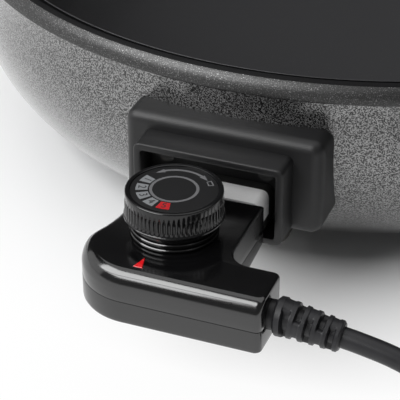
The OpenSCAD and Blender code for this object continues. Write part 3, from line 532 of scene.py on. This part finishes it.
outside = [(HUB_R, FLOOR_LOW), (60, FLOOR_LOW), (BASE_R - 6, FLOOR_LOW), (BASE_R - 2, FLOOR_LOW + 0.25)]
outside += wall_arc(BEND_R, FLOOR_LOW)[1:]
outside += [(SIDE_R, 92), (SIDE_R, RIM_LOW - 0.4), (SIDE_R + 0.1, RIM_LOW)]
round_c = RIM_R - RIM_ROUND
rim = [(RIM_R - 0.2, RIM_LOW + 0.05), (RIM_R, RIM_LOW + 0.4)]
rim += arc(round_c, RIM_ROUND_Z, RIM_ROUND, 0, BAND_START, 12)[:-1]
# The band along the groove and the groove itself take the painted shade
groove = arc(round_c, RIM_ROUND_Z, RIM_ROUND, BAND_START, BAND_END, 5)
groove += [(GROOVE_OUT + 0.05, RIM_TOP - 0.05), (GROOVE_OUT, RIM_TOP - GROOVE_EDGE)]
groove += [(GROOVE_OUT, GROOVE_Z + GROOVE_EDGE), (GROOVE_OUT - GROOVE_EDGE, GROOVE_Z)]
groove += [(GROOVE_IN + GROOVE_EDGE, GROOVE_Z), (GROOVE_IN, GROOVE_Z + GROOVE_EDGE)]
within = [(GROOVE_IN - 0.02, LIP_TOP - 0.1), (GROOVE_IN - 0.12, LIP_TOP), (LIP_R + 0.25, LIP_TOP)]
within += [(LIP_R + 0.05, LIP_TOP - 0.2), (LIP_R, LIP_TOP - 0.6)]
within += [(LIP_R, LIP_LOW + 1.2), (LIP_R + 0.3, LIP_LOW)]
within += [(INNER_R - 0.3, SLOPE_END), (INNER_R, SLOPE_END - 1.0), (INNER_R, 90)]
within += list(reversed(wall_arc(BEND_R - WALL, FLOOR_TOP)))[:-2]
r_last, z_last = within[-1]
within += [(r_last - 5.5, z_last - 2.2), (r_last - 12, FLOOR_TOP + 0.12), (r_last - 18, FLOOR_TOP)]
within += [(100, FLOOR_TOP), (HUB_R, FLOOR_TOP)]
profile, zones = [], []
for points, zone in ((outside, ON_WALL), (rim, ON_RIM), (groove, ON_GROOVE_SHADE), (within, ON_INSIDE)):
    profile += points
    zones += [zone] * len(points)
bm = bmesh.new()
rings = revolve(bm, profile, PAN_SIDES, pan_pt, zones)
for ring, zone in ((rings[0], ON_WALL), (rings[-1], ON_INSIDE)):
    f = bm.faces.new(ring)
    f.material_index = zone

# Ridge under the floor that carries the heater, open towards the socket

HEATER_R = 112.0
RIDGE_HALF = 7.5
RIDGE_LOW = 12.2
RIDGE_EDGE = 0.4
SEAT_R = 3.55
RIDGE_GAP = 33.0  # half the width of its opening
RIDGE_STEPS = 160
SINK = 0.2  # how far ridge and bosses reach into the floor
sunk_z = FLOOR_LOW + SINK
edge_z = RIDGE_LOW + RIDGE_EDGE
side_in, side_out = HEATER_R - RIDGE_HALF, HEATER_R + RIDGE_HALF
ridge = [(side_in, sunk_z), (side_in, edge_z), (side_in + RIDGE_EDGE, RIDGE_LOW)]
ridge += list(reversed(arc(HEATER_R, RIDGE_LOW, SEAT_R, 0, 180, 12)))
ridge += [(side_out - RIDGE_EDGE, RIDGE_LOW), (side_out, edge_z), (side_out, sunk_z)]
open_a = math.degrees(math.asin(RIDGE_GAP / HEATER_R))
rings = []
for i in range(RIDGE_STEPS + 1):
    a = math.radians(-90 + open_a + (360 - 2 * open_a) * i / RIDGE_STEPS)
    rings.append([pan_pt(r * math.cos(a), r * math.sin(a), z) for r, z in ridge])
loft(bm, rings)

# Bosses on the wall for the probe, the socket's screws and the handles, and under the floor for the feet

POST_X = 22.0
POST_Z = 74.0
HANDLE_POST_R = 190.0
FOOT_R = 143.0
foot_x = FOOT_R * math.sin(math.radians(60))
foot_y = FOOT_R / 2
stud(bm, lambda u, v, h: pan_pt(u, -INNER_R - h, PLUG_Z + v), r=6.5, length=10.3)
for sx in (-1, 1):
    stud(bm, lambda u, v, h: pan_pt(sx * POST_X + u, -INNER_R - 0.5 - h, POST_Z + v), r=4.5, length=12.6)
    for sy in (-1, 1):
        handle_x, handle_y = sx * HANDLE_POST_R, sy * HANDLE_HALF
        stud(bm, lambda u, v, h: pan_pt(handle_x + sx * h, handle_y + u, HANDLE_Z + v), r=6, length=13)
        stud(bm, lambda u, v, h: pan_pt(sx * foot_x + u, sy * foot_y + v, sunk_z - h), r=7, length=3.2)
piece("pan_shell", bm, ["wall", "rim", "inside", "groove"], "pan", ["pan_body"], 28)

# Socket block on the wall

BLOCK_W = 88.0
BLOCK_H = 44.0
BLOCK_R = 5.0
BLOCK_X = 1.4
BLOCK_MID = CTL_BOTTOM + BLOCK_H / 2
WALL_GAP = 0.3
LEDGE = 0.8


def on_wall(x, z):
    """Where a line along y meets the pan's wall, just outside it."""
    r = SIDE_R + WALL_GAP
    if z < BEND_Z:
        r = BEND_C + math.sqrt((BEND_R + WALL_GAP) ** 2 - (BEND_Z - z) ** 2)
    return -math.sqrt(r * r - x * x)


def block_ring(points, depth):
    """One ring of the block, with y from a function of x and z."""
    return [pan_pt(x, depth(x, BLOCK_MID + z), BLOCK_MID + z) for x, z in points]


outline = [(x + BLOCK_X, z) for x, z in rounded_rect(BLOCK_W, BLOCK_H, BLOCK_R + 0.6, 8)]
rings = [block_ring(outline, on_wall)]
edge_y = FRONT - BLOCK_R
for t in (0, 0.25, 0.5, 0.75, 1):
    rings.append(block_ring(outline, lambda x, z: (1 - t) * (on_wall(x, z) - LEDGE) - t * edge_y))
for k in range(1, 11):
    a = math.radians(90 * k / 10)
    y = edge_y + BLOCK_R * math.sin(a) - 0.2
    rings.append(block_ring(inset(outline, BLOCK_R * (1 - math.cos(a))), lambda x, z: -y))
bm = bmesh.new()
loft(bm, rings, LAST_CAP)

# Its sleeve, from the outside around the mouth to the inside

SLEEVE_W = 66.0
SLEEVE_H = 36.5
SLEEVE_T = 3.2
SLEEVE_END = FRONT + 12.8
SLEEVE_MID = CTL_BOTTOM + 0.4 + SLEEVE_H / 2
sleeve = rounded_rect(SLEEVE_W, SLEEVE_H, 3.0)
opening = rounded_rect(SLEEVE_W - 2 * SLEEVE_T, SLEEVE_H - 2 * SLEEVE_T, 1.2)
sleeve_levels = [(FRONT - 5.5, 0), (FRONT - 0.2, 0), (SLEEVE_END - 0.9, 0), (SLEEVE_END - 0.5, 0.08)]
sleeve_levels += [(SLEEVE_END - 0.2, 0.3), (SLEEVE_END, 0.75)]
opening_levels = [(SLEEVE_END, -0.45), (SLEEVE_END - 0.15, -0.15), (SLEEVE_END - 0.5, 0), (FRONT - 0.15, 0)]
rings = []
for shape, levels in ((sleeve, sleeve_levels), (opening, opening_levels)):
    for y, d in levels:
        rings.append([pan_pt(x, -y, SLEEVE_MID + z) for x, z in inset(shape, d)])
loft(bm, rings, NO_CAPS)
piece("socket_block", bm, ["block"], "pan", ["socket_housing"], 30)

# Handles: one sweep each, its ends shaped to the wall

GRIP_W = 22.0
GRIP_T = 17.0
GRIP_C = 239.0  # the grip's middle line, from the pan's axis
GRIP_BEND = 16.0
HANDLE_END_R = 199.85


def handle_line():
    """The right handle's middle line in plan, from one end on the wall to the other."""
    cy = HANDLE_HALF - GRIP_BEND
    cx = math.sqrt((GRIP_C - GRIP_BEND) ** 2 - cy * cy)
    turn = math.degrees(math.atan(cy / cx))
    half = [(x, -HANDLE_HALF) for x in (199.8, 204, 210, cx - 4)]
    half += arc(cx, -cy, GRIP_BEND, -90, -turn, 10)
    half += arc(0, 0, GRIP_C, -turn, 0, 8)[1:]
    return half + [(x, -y) for x, y in reversed(half[:-1])]


grip_half = (GRIP_W - GRIP_T) / 2
grip_outline = arc(grip_half, 0, GRIP_T / 2, -90, 90, 9) + arc(-grip_half, 0, GRIP_T / 2, 90, 270, 9)
line = handle_line()
for side, name, node in ((1, "handle_right", "right_handle"), (-1, "handle_left", "left_handle")):
    bm = bmesh.new()
    rings = []
    for i, (x, y) in enumerate(line):
        p, q = Vector(line[max(i - 1, 0)]), Vector(line[min(i + 1, len(line) - 1)])
        d = (q - p).normalized()
        ring = []
        for u, v in grip_outline:
            px, py = x + d.y * u, y - d.x * u
            if i in (0, len(line) - 1):
                px = math.sqrt(HANDLE_END_R ** 2 - py * py)
            ring.append(pan_pt(side * px, py, HANDLE_Z + v))
        rings.append(ring)
    loft(bm, rings)
    piece(name, bm, ["handle"], "pan", [node], 40)

# Control: two glossy shells on one outline

NECK_W = 54.0
NECK_END = 18.3
ROUND_X = -8.0
ROUND_R = 24.7
FLARE_START = 36.3
NOTCH_R = 9.0
EDGE_R = 5.0  # the top shoulder's width
EDGE_H = 7.4  # and its height
EDGE_STEPS = 16
EDGE_POWER = 1.2  # fuller than a plain ellipse below 1, flatter above
SMALL_R = 1.5
SHELL = 2.0
CORNER_R = 2.6
END_X = BAR_RIGHT - 2.6
SEAM_GAP = 0.02
SEAM = ((SEAM_GAP, 0.30), (0.14, 0.05), (0.3, 0))  # edge at the parting line: away from it and inwards
flare_out = ROUND_R - ROUND_X - NECK_W / 2
flare_run = BAR_FRONT - ROUND_R - FLARE_START
FLARE_R = (flare_out ** 2 + flare_run ** 2) / (2 * flare_out)
flare_a = math.degrees(math.asin(flare_run / FLARE_R))


def control_outline(d, end):
    """Plan of the control, moved inwards by d, and by end on the side of the lead and the notch."""
    flare = arc(-NECK_W / 2 - FLARE_R, -FLARE_START, FLARE_R, 0, -flare_a, 20)[:-3]
    nose = arc(ROUND_X, -BAR_FRONT + ROUND_R, ROUND_R, 180, 270, 28)[3:]
    a, b = Vector(flare[-1]), Vector(nose[0])
    corner = Vector((ROUND_X - ROUND_R, -BAR_FRONT + ROUND_R))
    soft = [(1 - t) ** 2 * a + 2 * t * (1 - t) * corner + t * t * b for t in (0.2, 0.4, 0.6, 0.8)]
    neck = [(NECK_W / 2, -NECK_END), (-NECK_W / 2, -NECK_END)] + flare + [tuple(p) for p in soft] + nose
    notch = arc(NECK_W / 2 + NOTCH_R, -BAR_BACK + NOTCH_R, NOTCH_R, 270, 180, 14)
    far = BAR_RIGHT + 60
    whole = neck + [(far, -BAR_FRONT), (far, -BAR_BACK)] + notch
    wide, narrow = inset(whole, d), inset(whole, end)
    cx = END_X - end - CORNER_R
    corners = arc(cx, -BAR_FRONT + d + CORNER_R, CORNER_R, 270, 360, 8)
    corners += arc(cx, -BAR_BACK - end - CORNER_R, CORNER_R, 0, 90, 8)
    return narrow[:1] + wide[1:len(neck)] + corners + narrow[len(neck) + 2:]


def small_edge(z):
    """How far the small top edge draws in at a height."""
    up = max(0.0, (z - CTL_TOP + SMALL_R) / SMALL_R)
    return SMALL_R * (1 - math.sqrt(max(0.0, 1 - up * up)))


cavity = control_outline(SHELL, SHELL)
rings = [[ctl_pt(x, y, z) for x, y in cavity] for z in (CTL_TOP - SHELL, CTL_SPLIT + SEAM_GAP)]
rings += [[ctl_pt(x, y, CTL_SPLIT + up) for x, y in control_outline(d, d)] for up, d in SEAM]
levels = [(CTL_TOP - EDGE_H - 2, 0)]
for k in range(EDGE_STEPS + 1):
    a = math.radians(90 * k / EDGE_STEPS)
    up, out = math.sin(a) ** EDGE_POWER, max(0.0, math.cos(a)) ** EDGE_POWER
    levels.append((CTL_TOP - EDGE_H + EDGE_H * up, EDGE_R * (1 - out)))
rings += [[ctl_pt(x, y, z) for x, y in control_outline(d, small_edge(z))] for z, d in levels]
bm = bmesh.new()
loft(bm, rings)

# Stepped boss under the dial

BOSS_R = 17.8
BOSS_H = 7.1
BOSS_STEPS = 3
BOSS_STEP = ((1.4, 0.25), (0.3, 0.35), (0, 0.6), (0, 1.2), (0.3, 1.5), (1.4, 1.6))  # inwards and up
SPINDLE_HOLE_R = 5.2
boss_top = CTL_TOP + BOSS_H
boss = [(BOSS_R - 1.0, CTL_TOP - 0.2), (BOSS_R - 1.4, CTL_TOP + 0.1)]
for k in range(BOSS_STEPS):
    boss += [(BOSS_R - inward, CTL_TOP + k * BOSS_H / BOSS_STEPS + up) for inward, up in BOSS_STEP]
boss += [(BOSS_R - 1.4, boss_top - 0.2), (BOSS_R - 1.6, boss_top), (SPINDLE_HOLE_R, boss_top)]
revolve(bm, boss, ROUND_SIDES, dial_pt)
piece("control_top", bm, ["gloss"], "control", ["control_upper_housing"], 35)

# Lower shell

UNDER_LIFT = 4.5
UNDER_START = 52.0
LOW_H = CTL_SPLIT - CTL_BOTTOM


def under(y, z):
    """A height of the lower shell, whose underside rises along the neck."""
    lift = UNDER_LIFT * max(0.0, min(1.0, (y + UNDER_START) / (UNDER_START - NECK_END)))
    return CTL_BOTTOM + lift + (z - CTL_BOTTOM) * (LOW_H - lift) / LOW_H


levels = [(CTL_BOTTOM, 1.0), (CTL_BOTTOM + 0.3, 0.35), (CTL_BOTTOM + 0.9, 0.02), (CTL_BOTTOM + 2, 0)]
levels += [(CTL_SPLIT - down, d) for down, d in reversed(SEAM)]
rings = [[ctl_pt(x, y, under(y, z)) for x, y in control_outline(d, d)] for z, d in levels]
for z in (CTL_SPLIT - SEAM_GAP, CTL_BOTTOM + SHELL):
    rings.append([ctl_pt(x, y, under(y, z)) for x, y in cavity])
bm = bmesh.new()
rings = loft(bm, rings, NO_CAPS)
caps = [bm.faces.new(list(reversed(rings[0]))), bm.faces.new(rings[-1])]
bmesh.ops.triangulate(bm, faces=caps)
piece("control_base", bm, ["gloss"], "control", ["control_lower_housing"], 35)

# Red window in front of the dial

WINDOW = [(-5.2, -78.0), (-1.1, -78.0), (-3.0, -70.5)]
WINDOW_LEVELS = ((-2, 0.1), (0.1, 0.1), (0.3, 0.25), (0.36, 0.5))  # above the control's top, and inwards
bm = bmesh.new()
loft(bm, [[ctl_pt(x, y, CTL_TOP + up) for x, y in inset(WINDOW, d)] for up, d in WINDOW_LEVELS])
piece("pilot_window", bm, ["lens"], "control", ["pilot_lens"], 30)

# Dial with a ribbed grip

DIAL_Z = 76.6
DIAL_H = 11.6
RIBS = 64
RIB_POINTS = 10
RIB_EDGE = 0.22  # shares of the distance from rib to rib
RIB_WIDTH = 0.5
FACE_H = DIAL_H - 0.4
FACE_R = 17.45
knob = [(SPINDLE_HOLE_R, 0.0), (19.6, 0.0), (20.1, 0.3), (20.1, 0.8), (19.75, 1.15)]
rib_start = len(knob)
RIB_DEPTH = (0.1, 0.6, 0.6, 0.3)
knob += [(19.65, 1.8), (19.6, 2.8), (19.6, 6.9), (19.55, 7.6)]
knob += [(19.5, 7.95), (19.5, DIAL_H - 0.9)] + arc(18.7, DIAL_H - 0.8, 0.8, 15, 90, 4)
knob += [(17.75, DIAL_H), (17.55, DIAL_H - 0.1), (FACE_R, DIAL_H - 0.5)]


def on_dial(x, y, z):
    """A point of the dial, measured from its underside."""
    return dial_pt(x, y, z + DIAL_Z)


def rib(i):
    """How high a rib stands at the i-th point around the grip, from 0 to 1."""
    t = (i / RIB_POINTS) % 1.0
    return smooth(t / RIB_EDGE) - smooth((t - RIB_WIDTH) / RIB_EDGE)


rings = []
for k, (r, z) in enumerate(knob):
    in_ribs = 0 <= k - rib_start < len(RIB_DEPTH)
    depth = RIB_DEPTH[k - rib_start] if in_ribs else 0
    ring = []
    for i in range(RIBS * RIB_POINTS):
        a = 2 * math.pi * i / (RIBS * RIB_POINTS)
        rr = r - depth * (1 - rib(i))
        ring.append(on_dial(rr * math.cos(a), rr * math.sin(a), z))
    rings.append(ring)
bm = bmesh.new()
loft(bm, rings, NO_CAPS)
piece("dial_knob", bm, ["dial"], "dial", ["temperature_dial"], 40)
bm = bmesh.new()
disc = [(FACE_R, FACE_H - 0.25), (FACE_R - 0.1, FACE_H - 0.05), (17.0, FACE_H), (12, FACE_H), (0.4, FACE_H)]
rings = revolve(bm, disc, ROUND_SIDES, on_dial)
bm.faces.new(rings[-1])
piece("dial_disc", bm, ["face"], "dial", ["dial_face"], 30)

# Print on the dial's face: a ring, a double arrow, a zero mark and numbered fields

PRINT_LIFT = 0.06
NUMBER_LIFT = 0.11
RING_BAND = (8.65, 9.85)
ARROW_BAND = (13.75, 14.95)
ARROW_ENDS = (143.0, 208.0)
ARROW_HEAD = 16.0  # degrees
ARROW_R = 14.4
ARROW_HALF = 1.3
ZERO_BAND = (13.5, 15.8)
ZERO_ENDS = (226, 240)
ZERO_STROKE = 0.5
ZERO_STROKE_A = 2  # degrees
FIELD_BAND = (10.4, 15.2)
FIELD_HALF = 10  # degrees
HOT_HALF = 10.5
NUMBER_R = 12.8
NUMBER_SIZE = 4.6 * MM
FIELDS = ((-4, "5"), (22.5, "4"), (49, "3"), (76, "2"), (103, "1"))


def around(r, degrees, lift=PRINT_LIFT):
    """A point on the dial's face, turned clockwise from the front as seen from above."""
    a = math.radians(-90 - degrees)
    return on_dial(r * math.cos(a), r * math.sin(a), FACE_H + lift)


def band(bm, radii, a0, a1, n):
    """A flat strip between two radii, from one angle to another in n steps."""
    r0, r1 = radii
    for k in range(n):
        b0, b1 = a0 + (a1 - a0) * k / n, a0 + (a1 - a0) * (k + 1) / n
        quad = [around(r0, b0), around(r1, b0), around(r1, b1), around(r0, b1)]
        bm.faces.new([bm.verts.new(p) for p in quad])


bm = bmesh.new()
band(bm, RING_BAND, 0, 360, 96)
arrow_from, arrow_to = ARROW_ENDS
band(bm, ARROW_BAND, arrow_from, arrow_to, 40)
for base, tip in ((arrow_from, arrow_from - ARROW_HEAD), (arrow_to, arrow_to + ARROW_HEAD)):
    head = ((ARROW_R, tip), (ARROW_R - ARROW_HALF, base), (ARROW_R + ARROW_HALF, base))
    bm.faces.new([bm.verts.new(around(r, a)) for r, a in head])
zero_in, zero_out = ZERO_BAND
zero_from, zero_to = ZERO_ENDS
zero_side = (zero_in + ZERO_STROKE, zero_out - ZERO_STROKE)
band(bm, (zero_in, zero_side[0]), zero_from, zero_to, 4)
band(bm, (zero_side[1], zero_out), zero_from, zero_to, 4)
band(bm, zero_side, zero_from, zero_from + ZERO_STROKE_A, 2)
band(bm, zero_side, zero_to - ZERO_STROKE_A, zero_to, 2)
piece("dial_marks", bm, ["print_line"], "dial", ())
bm = bmesh.new()
for degrees, _ in FIELDS[1:]:
    band(bm, FIELD_BAND, degrees - FIELD_HALF, degrees + FIELD_HALF, 6)
piece("dial_fields", bm, ["print_gray"], "dial", ())
bm = bmesh.new()
band(bm, FIELD_BAND, FIELDS[0][0] - HOT_HALF, FIELDS[0][0] + HOT_HALF, 6)
piece("dial_field_hot", bm, ["print_red"], "dial", ())


def digit_mesh(text):
    """The flat mesh of a digit in Blender's own font."""
    curve = bpy.data.curves.new("digit_" + text, "FONT")
    curve.body = text
    curve.size = NUMBER_SIZE
    curve.align_x = "CENTER"
    curve.align_y = "CENTER"
    ob = bpy.data.objects.new("digit_source_" + text, curve)
    scene.collection.objects.link(ob)
    bpy.context.view_layer.update()
    mesh = bpy.data.meshes.new_from_object(ob.evaluated_get(bpy.context.evaluated_depsgraph_get()))
    bpy.data.objects.remove(ob)
    return mesh


for degrees, text in FIELDS:
    mesh = digit_mesh(text)
    at = around(NUMBER_R, degrees, NUMBER_LIFT)
    mesh.transform(Matrix.Translation(at) @ Matrix.Rotation(math.radians(-degrees), 4, "Z"))
    mesh.materials.clear()
    mesh.materials.append(MATERIALS["print_dark"])
    ob = bpy.data.objects.new("dial_number_" + text, mesh)
    scene.collection.objects.link(ob)
    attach(ob, "dial")

# Strain relief: a ringed sleeve with slots on alternate sides

SLOTS = 5
SLOT_PITCH = RELIEF_L / SLOTS
SLOT_SHIFT = 0.6
SLOT_MID = 0.32  # shares of the pitch
SLOT_HALF = 0.34
SLOT_SOFT = 0.4
SLOT_DEPTH = 2.4
SLOT_SIDE = 0.46  # how far around a slot reaches
SLOT_END = 0.2
RING_DIP = 0.25
COLLAR_R = 7.8
RELIEF_R = 7.6
RELIEF_TAPER = 1.4
END_DIP = 0.8
END_RUN = 0.9
RELIEF_STEPS = 150
RELIEF_SIDES = 96
FLANGE_R = 8.0
FLANGE_L = 2.7
STUB_R = 6.0
STUB_L = 3.2
relief_base = Vector((BAR_RIGHT, -BAR_C, RELIEF_Z))
relief_up = Vector((math.sin(RELIEF_TILT), 0, math.cos(RELIEF_TILT)))
total = COLLAR_L + RELIEF_L
rings = []
for k in range(RELIEF_STEPS + 1):
    s = total * k / RELIEF_STEPS
    centre = relief_base + Vector((min(s, COLLAR_L), 0, 0)) + tilt * max(0.0, s - COLLAR_L)
    up_dir = relief_up if s > COLLAR_L else Vector((0, 0, 1))
    base = COLLAR_R if s < COLLAR_L else RELIEF_R - RELIEF_TAPER * (s - COLLAR_L) / RELIEF_L
    base -= END_DIP * (1 - smooth(min(s, total - s) / END_RUN))
    u = (s - COLLAR_L + SLOT_SHIFT) / SLOT_PITCH
    slot_k = math.floor(u)
    cut = smooth((1 - abs(u - slot_k - SLOT_MID) / SLOT_HALF) / SLOT_SOFT) if 0 <= slot_k < SLOTS else 0
    ring = []
    for i in range(RELIEF_SIDES):
        a = 2 * math.pi * i / RELIEF_SIDES
        facing = abs(math.sin(a)) if slot_k % 2 else abs(math.cos(a))
        r = base - SLOT_DEPTH * cut * smooth((facing - SLOT_SIDE) / SLOT_END) - RING_DIP * cut
        ring.append(ctl_pt(*(centre + r * (math.cos(a) * Vector((0, 1, 0)) + math.sin(a) * up_dir))))
    rings.append(ring)
bm = bmesh.new()
loft(bm, rings)
# The flange and the stub that hold it in the bar
flange_x = BAR_RIGHT - 2 * FLANGE_L
stub_x = BAR_RIGHT - STUB_L + 0.2
stud(bm, lambda u, v, h: ctl_pt(flange_x + h, -BAR_C + u, RELIEF_Z + v), FLANGE_R, FLANGE_L)
stud(bm, lambda u, v, h: ctl_pt(stub_x + h, -BAR_C + u, RELIEF_Z + v), STUB_R, STUB_L)
piece("relief_sleeve", bm, ["cord"], "control", ["strain_relief"], 48)

# Lead and its tie

curve = bpy.data.curves.new("lead", "CURVE")
curve.dimensions = "3D"
curve.bevel_depth = CORD_D / 2000
curve.bevel_resolution = 6
curve.use_fill_caps = True
spline = curve.splines.new("POLY")
spline.points.add(len(cord_points) - 1)
for sp, p in zip(spline.points, cord_points):
    sp.co = (*p, 1)
spline.use_smooth = True
curve.materials.append(MATERIALS["cord"])
lead = bpy.data.objects.new("lead", curve)
scene.collection.objects.link(lead)
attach(lead, "control")
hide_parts("mains_cord", "cord_coil")

TIE_T = 0.9
TIE_HALF = 4.0
TIE_EDGE = 3.7
TABLE_GAP = 0.12
tie_in = COIL_R - COIL_PITCH * COIL_TURNS / 2 - CORD_D / 2 - 0.8
tie_out = COIL_R + CORD_D / 2 + 0.5
tie_low = coil_start.z - CORD_D / 2 - 0.2
tie_high = coil_start.z + COIL_PITCH + CORD_D / 2 + 0.3
tie_mid = Vector((coil_c.x + (tie_in + tie_out) / 2, coil_c.y, (tie_low + tie_high) / 2))
tie_outer = rounded_rect(tie_out - tie_in + 2 * TIE_T, tie_high - tie_low + 2 * TIE_T, 2.5, 8)
tie_inner = rounded_rect(tie_out - tie_in, tie_high - tie_low, 1.6, 8)
tie_levels = [(tie_outer, -TIE_EDGE), (tie_outer, TIE_EDGE), (tie_inner, TIE_HALF), (tie_inner, -TIE_HALF)]
rings = []
for shape, y in tie_levels + tie_levels[:1]:
    rings.append([ctl_pt(tie_mid.x + x, tie_mid.y + y, max(TABLE_GAP, tie_mid.z + z)) for x, z in shape])
bm = bmesh.new()
loft(bm, rings, NO_CAPS)
tie = piece("lead_tie", bm, ["nose"], "control", ["cord_tie"], 40)

# Finishes of the solids that show as they are

FINISH = {
    "heater": ("heating_element",),
    "bright": ("terminal_pins", "sensor_probe", "plug_pins", "plug_earth_clips"),
    "nose": ("terminal_insulators", "socket_screws", "plug_nose"),
    "brass": ("earth_contact", "socket_contacts", "fixed_contact", "contact_arm", "spindle_bush"),
    "steel": (
        "probe_guide", "handle_screws", "foot_screws", "thermostat_frame", "cord_clamp", "control_screws",
        "dial_spindle",
    ),
    "handle": ("feet",),
    "pad": ("foot_pads",),
    "shell": ("earth_shell",),
    "ceramic": ("switch_insulator",),
    "lamp": ("pilot_lamp",),
    "wire": ("inner_leads",),
    "cord": ("plug_body",),
}
for finish, nodes in FINISH.items():
    for node in nodes:
        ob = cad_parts[node]
        ob.data.materials.clear()
        ob.data.materials.append(MATERIALS[finish])

# Floor, lamps and surroundings

FLOOR_R = 6.0
# Painted white light starts some way from the pan, covering the shadows there, and leaves out the floor
# around the coil: centre, near, far and most
FADES = (
    (pan_pt(0, 0, 0), 0.157, 0.26, 0.95),
    (ctl_pt(coil_c.x, coil_c.y, 0), 0.065, 0.11, 1.0),
)


def floor_material():
    """A pale floor that glows white for camera and glossy rays away from the object: painted light that
    covers the shadows there.
    """
    mat = bpy.data.materials.new("studio_floor")
    mat.use_nodes = True
    nodes, links = mat.node_tree.nodes, mat.node_tree.links
    paint = nodes["Principled BSDF"]
    paint.inputs["Base Color"].default_value = (0.90, 0.905, 0.91, 1)
    paint.inputs["Roughness"].default_value = 0.9
    paint.inputs["Specular IOR Level"].default_value = 0.1
    glow = nodes.new("ShaderNodeEmission")
    place = nodes.new("ShaderNodeTexCoord")
    seen = nodes.new("ShaderNodeLightPath")

    def combine(operation, a, b):
        node = nodes.new("ShaderNodeMath")
        node.operation = operation
        links.new(a, node.inputs[0])
        links.new(b, node.inputs[1])
        return node.outputs["Value"]

    # The floor's painted white glow shows to the camera and in reflections, faded in by distance below
    share = seen.outputs["Is Camera Ray"]
    for ray in ("Is Glossy Ray", "Is Transmission Ray"):
        share = combine("MAXIMUM", share, seen.outputs[ray])
    for centre, near, far, most in FADES:
        reach = nodes.new("ShaderNodeVectorMath")
        reach.operation = "DISTANCE"
        links.new(place.outputs["Object"], reach.inputs[0])
        reach.inputs[1].default_value = centre
        fade = nodes.new("ShaderNodeMapRange")
        fade.inputs["From Min"].default_value = near
        fade.inputs["From Max"].default_value = far
        fade.inputs["To Max"].default_value = most
        links.new(reach.outputs["Value"], fade.inputs["Value"])
        share = combine("MULTIPLY", share, fade.outputs["Result"])
    blend = nodes.new("ShaderNodeMixShader")
    links.new(share, blend.inputs["Fac"])
    links.new(paint.outputs["BSDF"], blend.inputs[1])
    links.new(glow.outputs["Emission"], blend.inputs[2])
    links.new(blend.outputs["Shader"], nodes["Material Output"].inputs["Surface"])
    return mat


bm = bmesh.new()
bmesh.ops.create_circle(bm, cap_ends=True, segments=96, radius=FLOOR_R)
mesh = bpy.data.meshes.new("floor")
bm.to_mesh(mesh)
bm.free()
mesh.materials.append(floor_material())
floor = bpy.data.objects.new("floor", mesh)
scene.collection.objects.link(floor)


def softbox(name, at, aim, size, watts):
    """A wide soft lamp turned towards a point."""
    data = bpy.data.lights.new(name, "AREA")
    data.shape = "RECTANGLE"
    data.size, data.size_y = size
    data.energy = watts
    ob = bpy.data.objects.new(name, data)
    ob.location = at
    ob.rotation_euler = (Vector(aim) - Vector(at)).to_track_quat("-Z", "Y").to_euler()
    scene.collection.objects.link(ob)


softbox("key", at=(-0.8, -1.05, 1.15), aim=(0, -0.2, 0.05), size=(1.5, 0.95), watts=29)
softbox("side", at=(-1.4, -0.35, 0.5), aim=(-0.1, -0.2, 0.05), size=(1.4, 0.9), watts=3)
softbox("top", at=(0.0, 0.1, 1.5), aim=(0, 0, 0.1), size=(2.2, 1.5), watts=10)

# The surroundings are dim, lighter in front than behind, and near white where the camera sees them
FRONT_LEVEL = 0.14
BACK_LEVEL = 0.03
SEEN_LEVEL = 0.95
world = bpy.data.worlds.new("studio")
world.use_nodes = True
scene.world = world
tree = world.node_tree
background = tree.nodes["Background"]
background.inputs["Strength"].default_value = 1.0
coords = tree.nodes.new("ShaderNodeTexCoord")
split = tree.nodes.new("ShaderNodeSeparateXYZ")
tree.links.new(coords.outputs["Generated"], split.inputs["Vector"])
shade = tree.nodes.new("ShaderNodeMapRange")
shade.interpolation_type = "SMOOTHSTEP"
shade.inputs["From Min"].default_value = -0.25
shade.inputs["From Max"].default_value = 0.35
shade.inputs["To Min"].default_value = FRONT_LEVEL
shade.inputs["To Max"].default_value = BACK_LEVEL
tree.links.new(split.outputs["Y"], shade.inputs["Value"])
path = tree.nodes.new("ShaderNodeLightPath")
pick = tree.nodes.new("ShaderNodeMix")
pick.data_type = "FLOAT"
tree.links.new(path.outputs["Is Camera Ray"], pick.inputs["Factor"])
tree.links.new(shade.outputs["Result"], pick.inputs[2])
pick.inputs[3].default_value = SEEN_LEVEL
tree.links.new(pick.outputs[0], background.inputs["Color"])
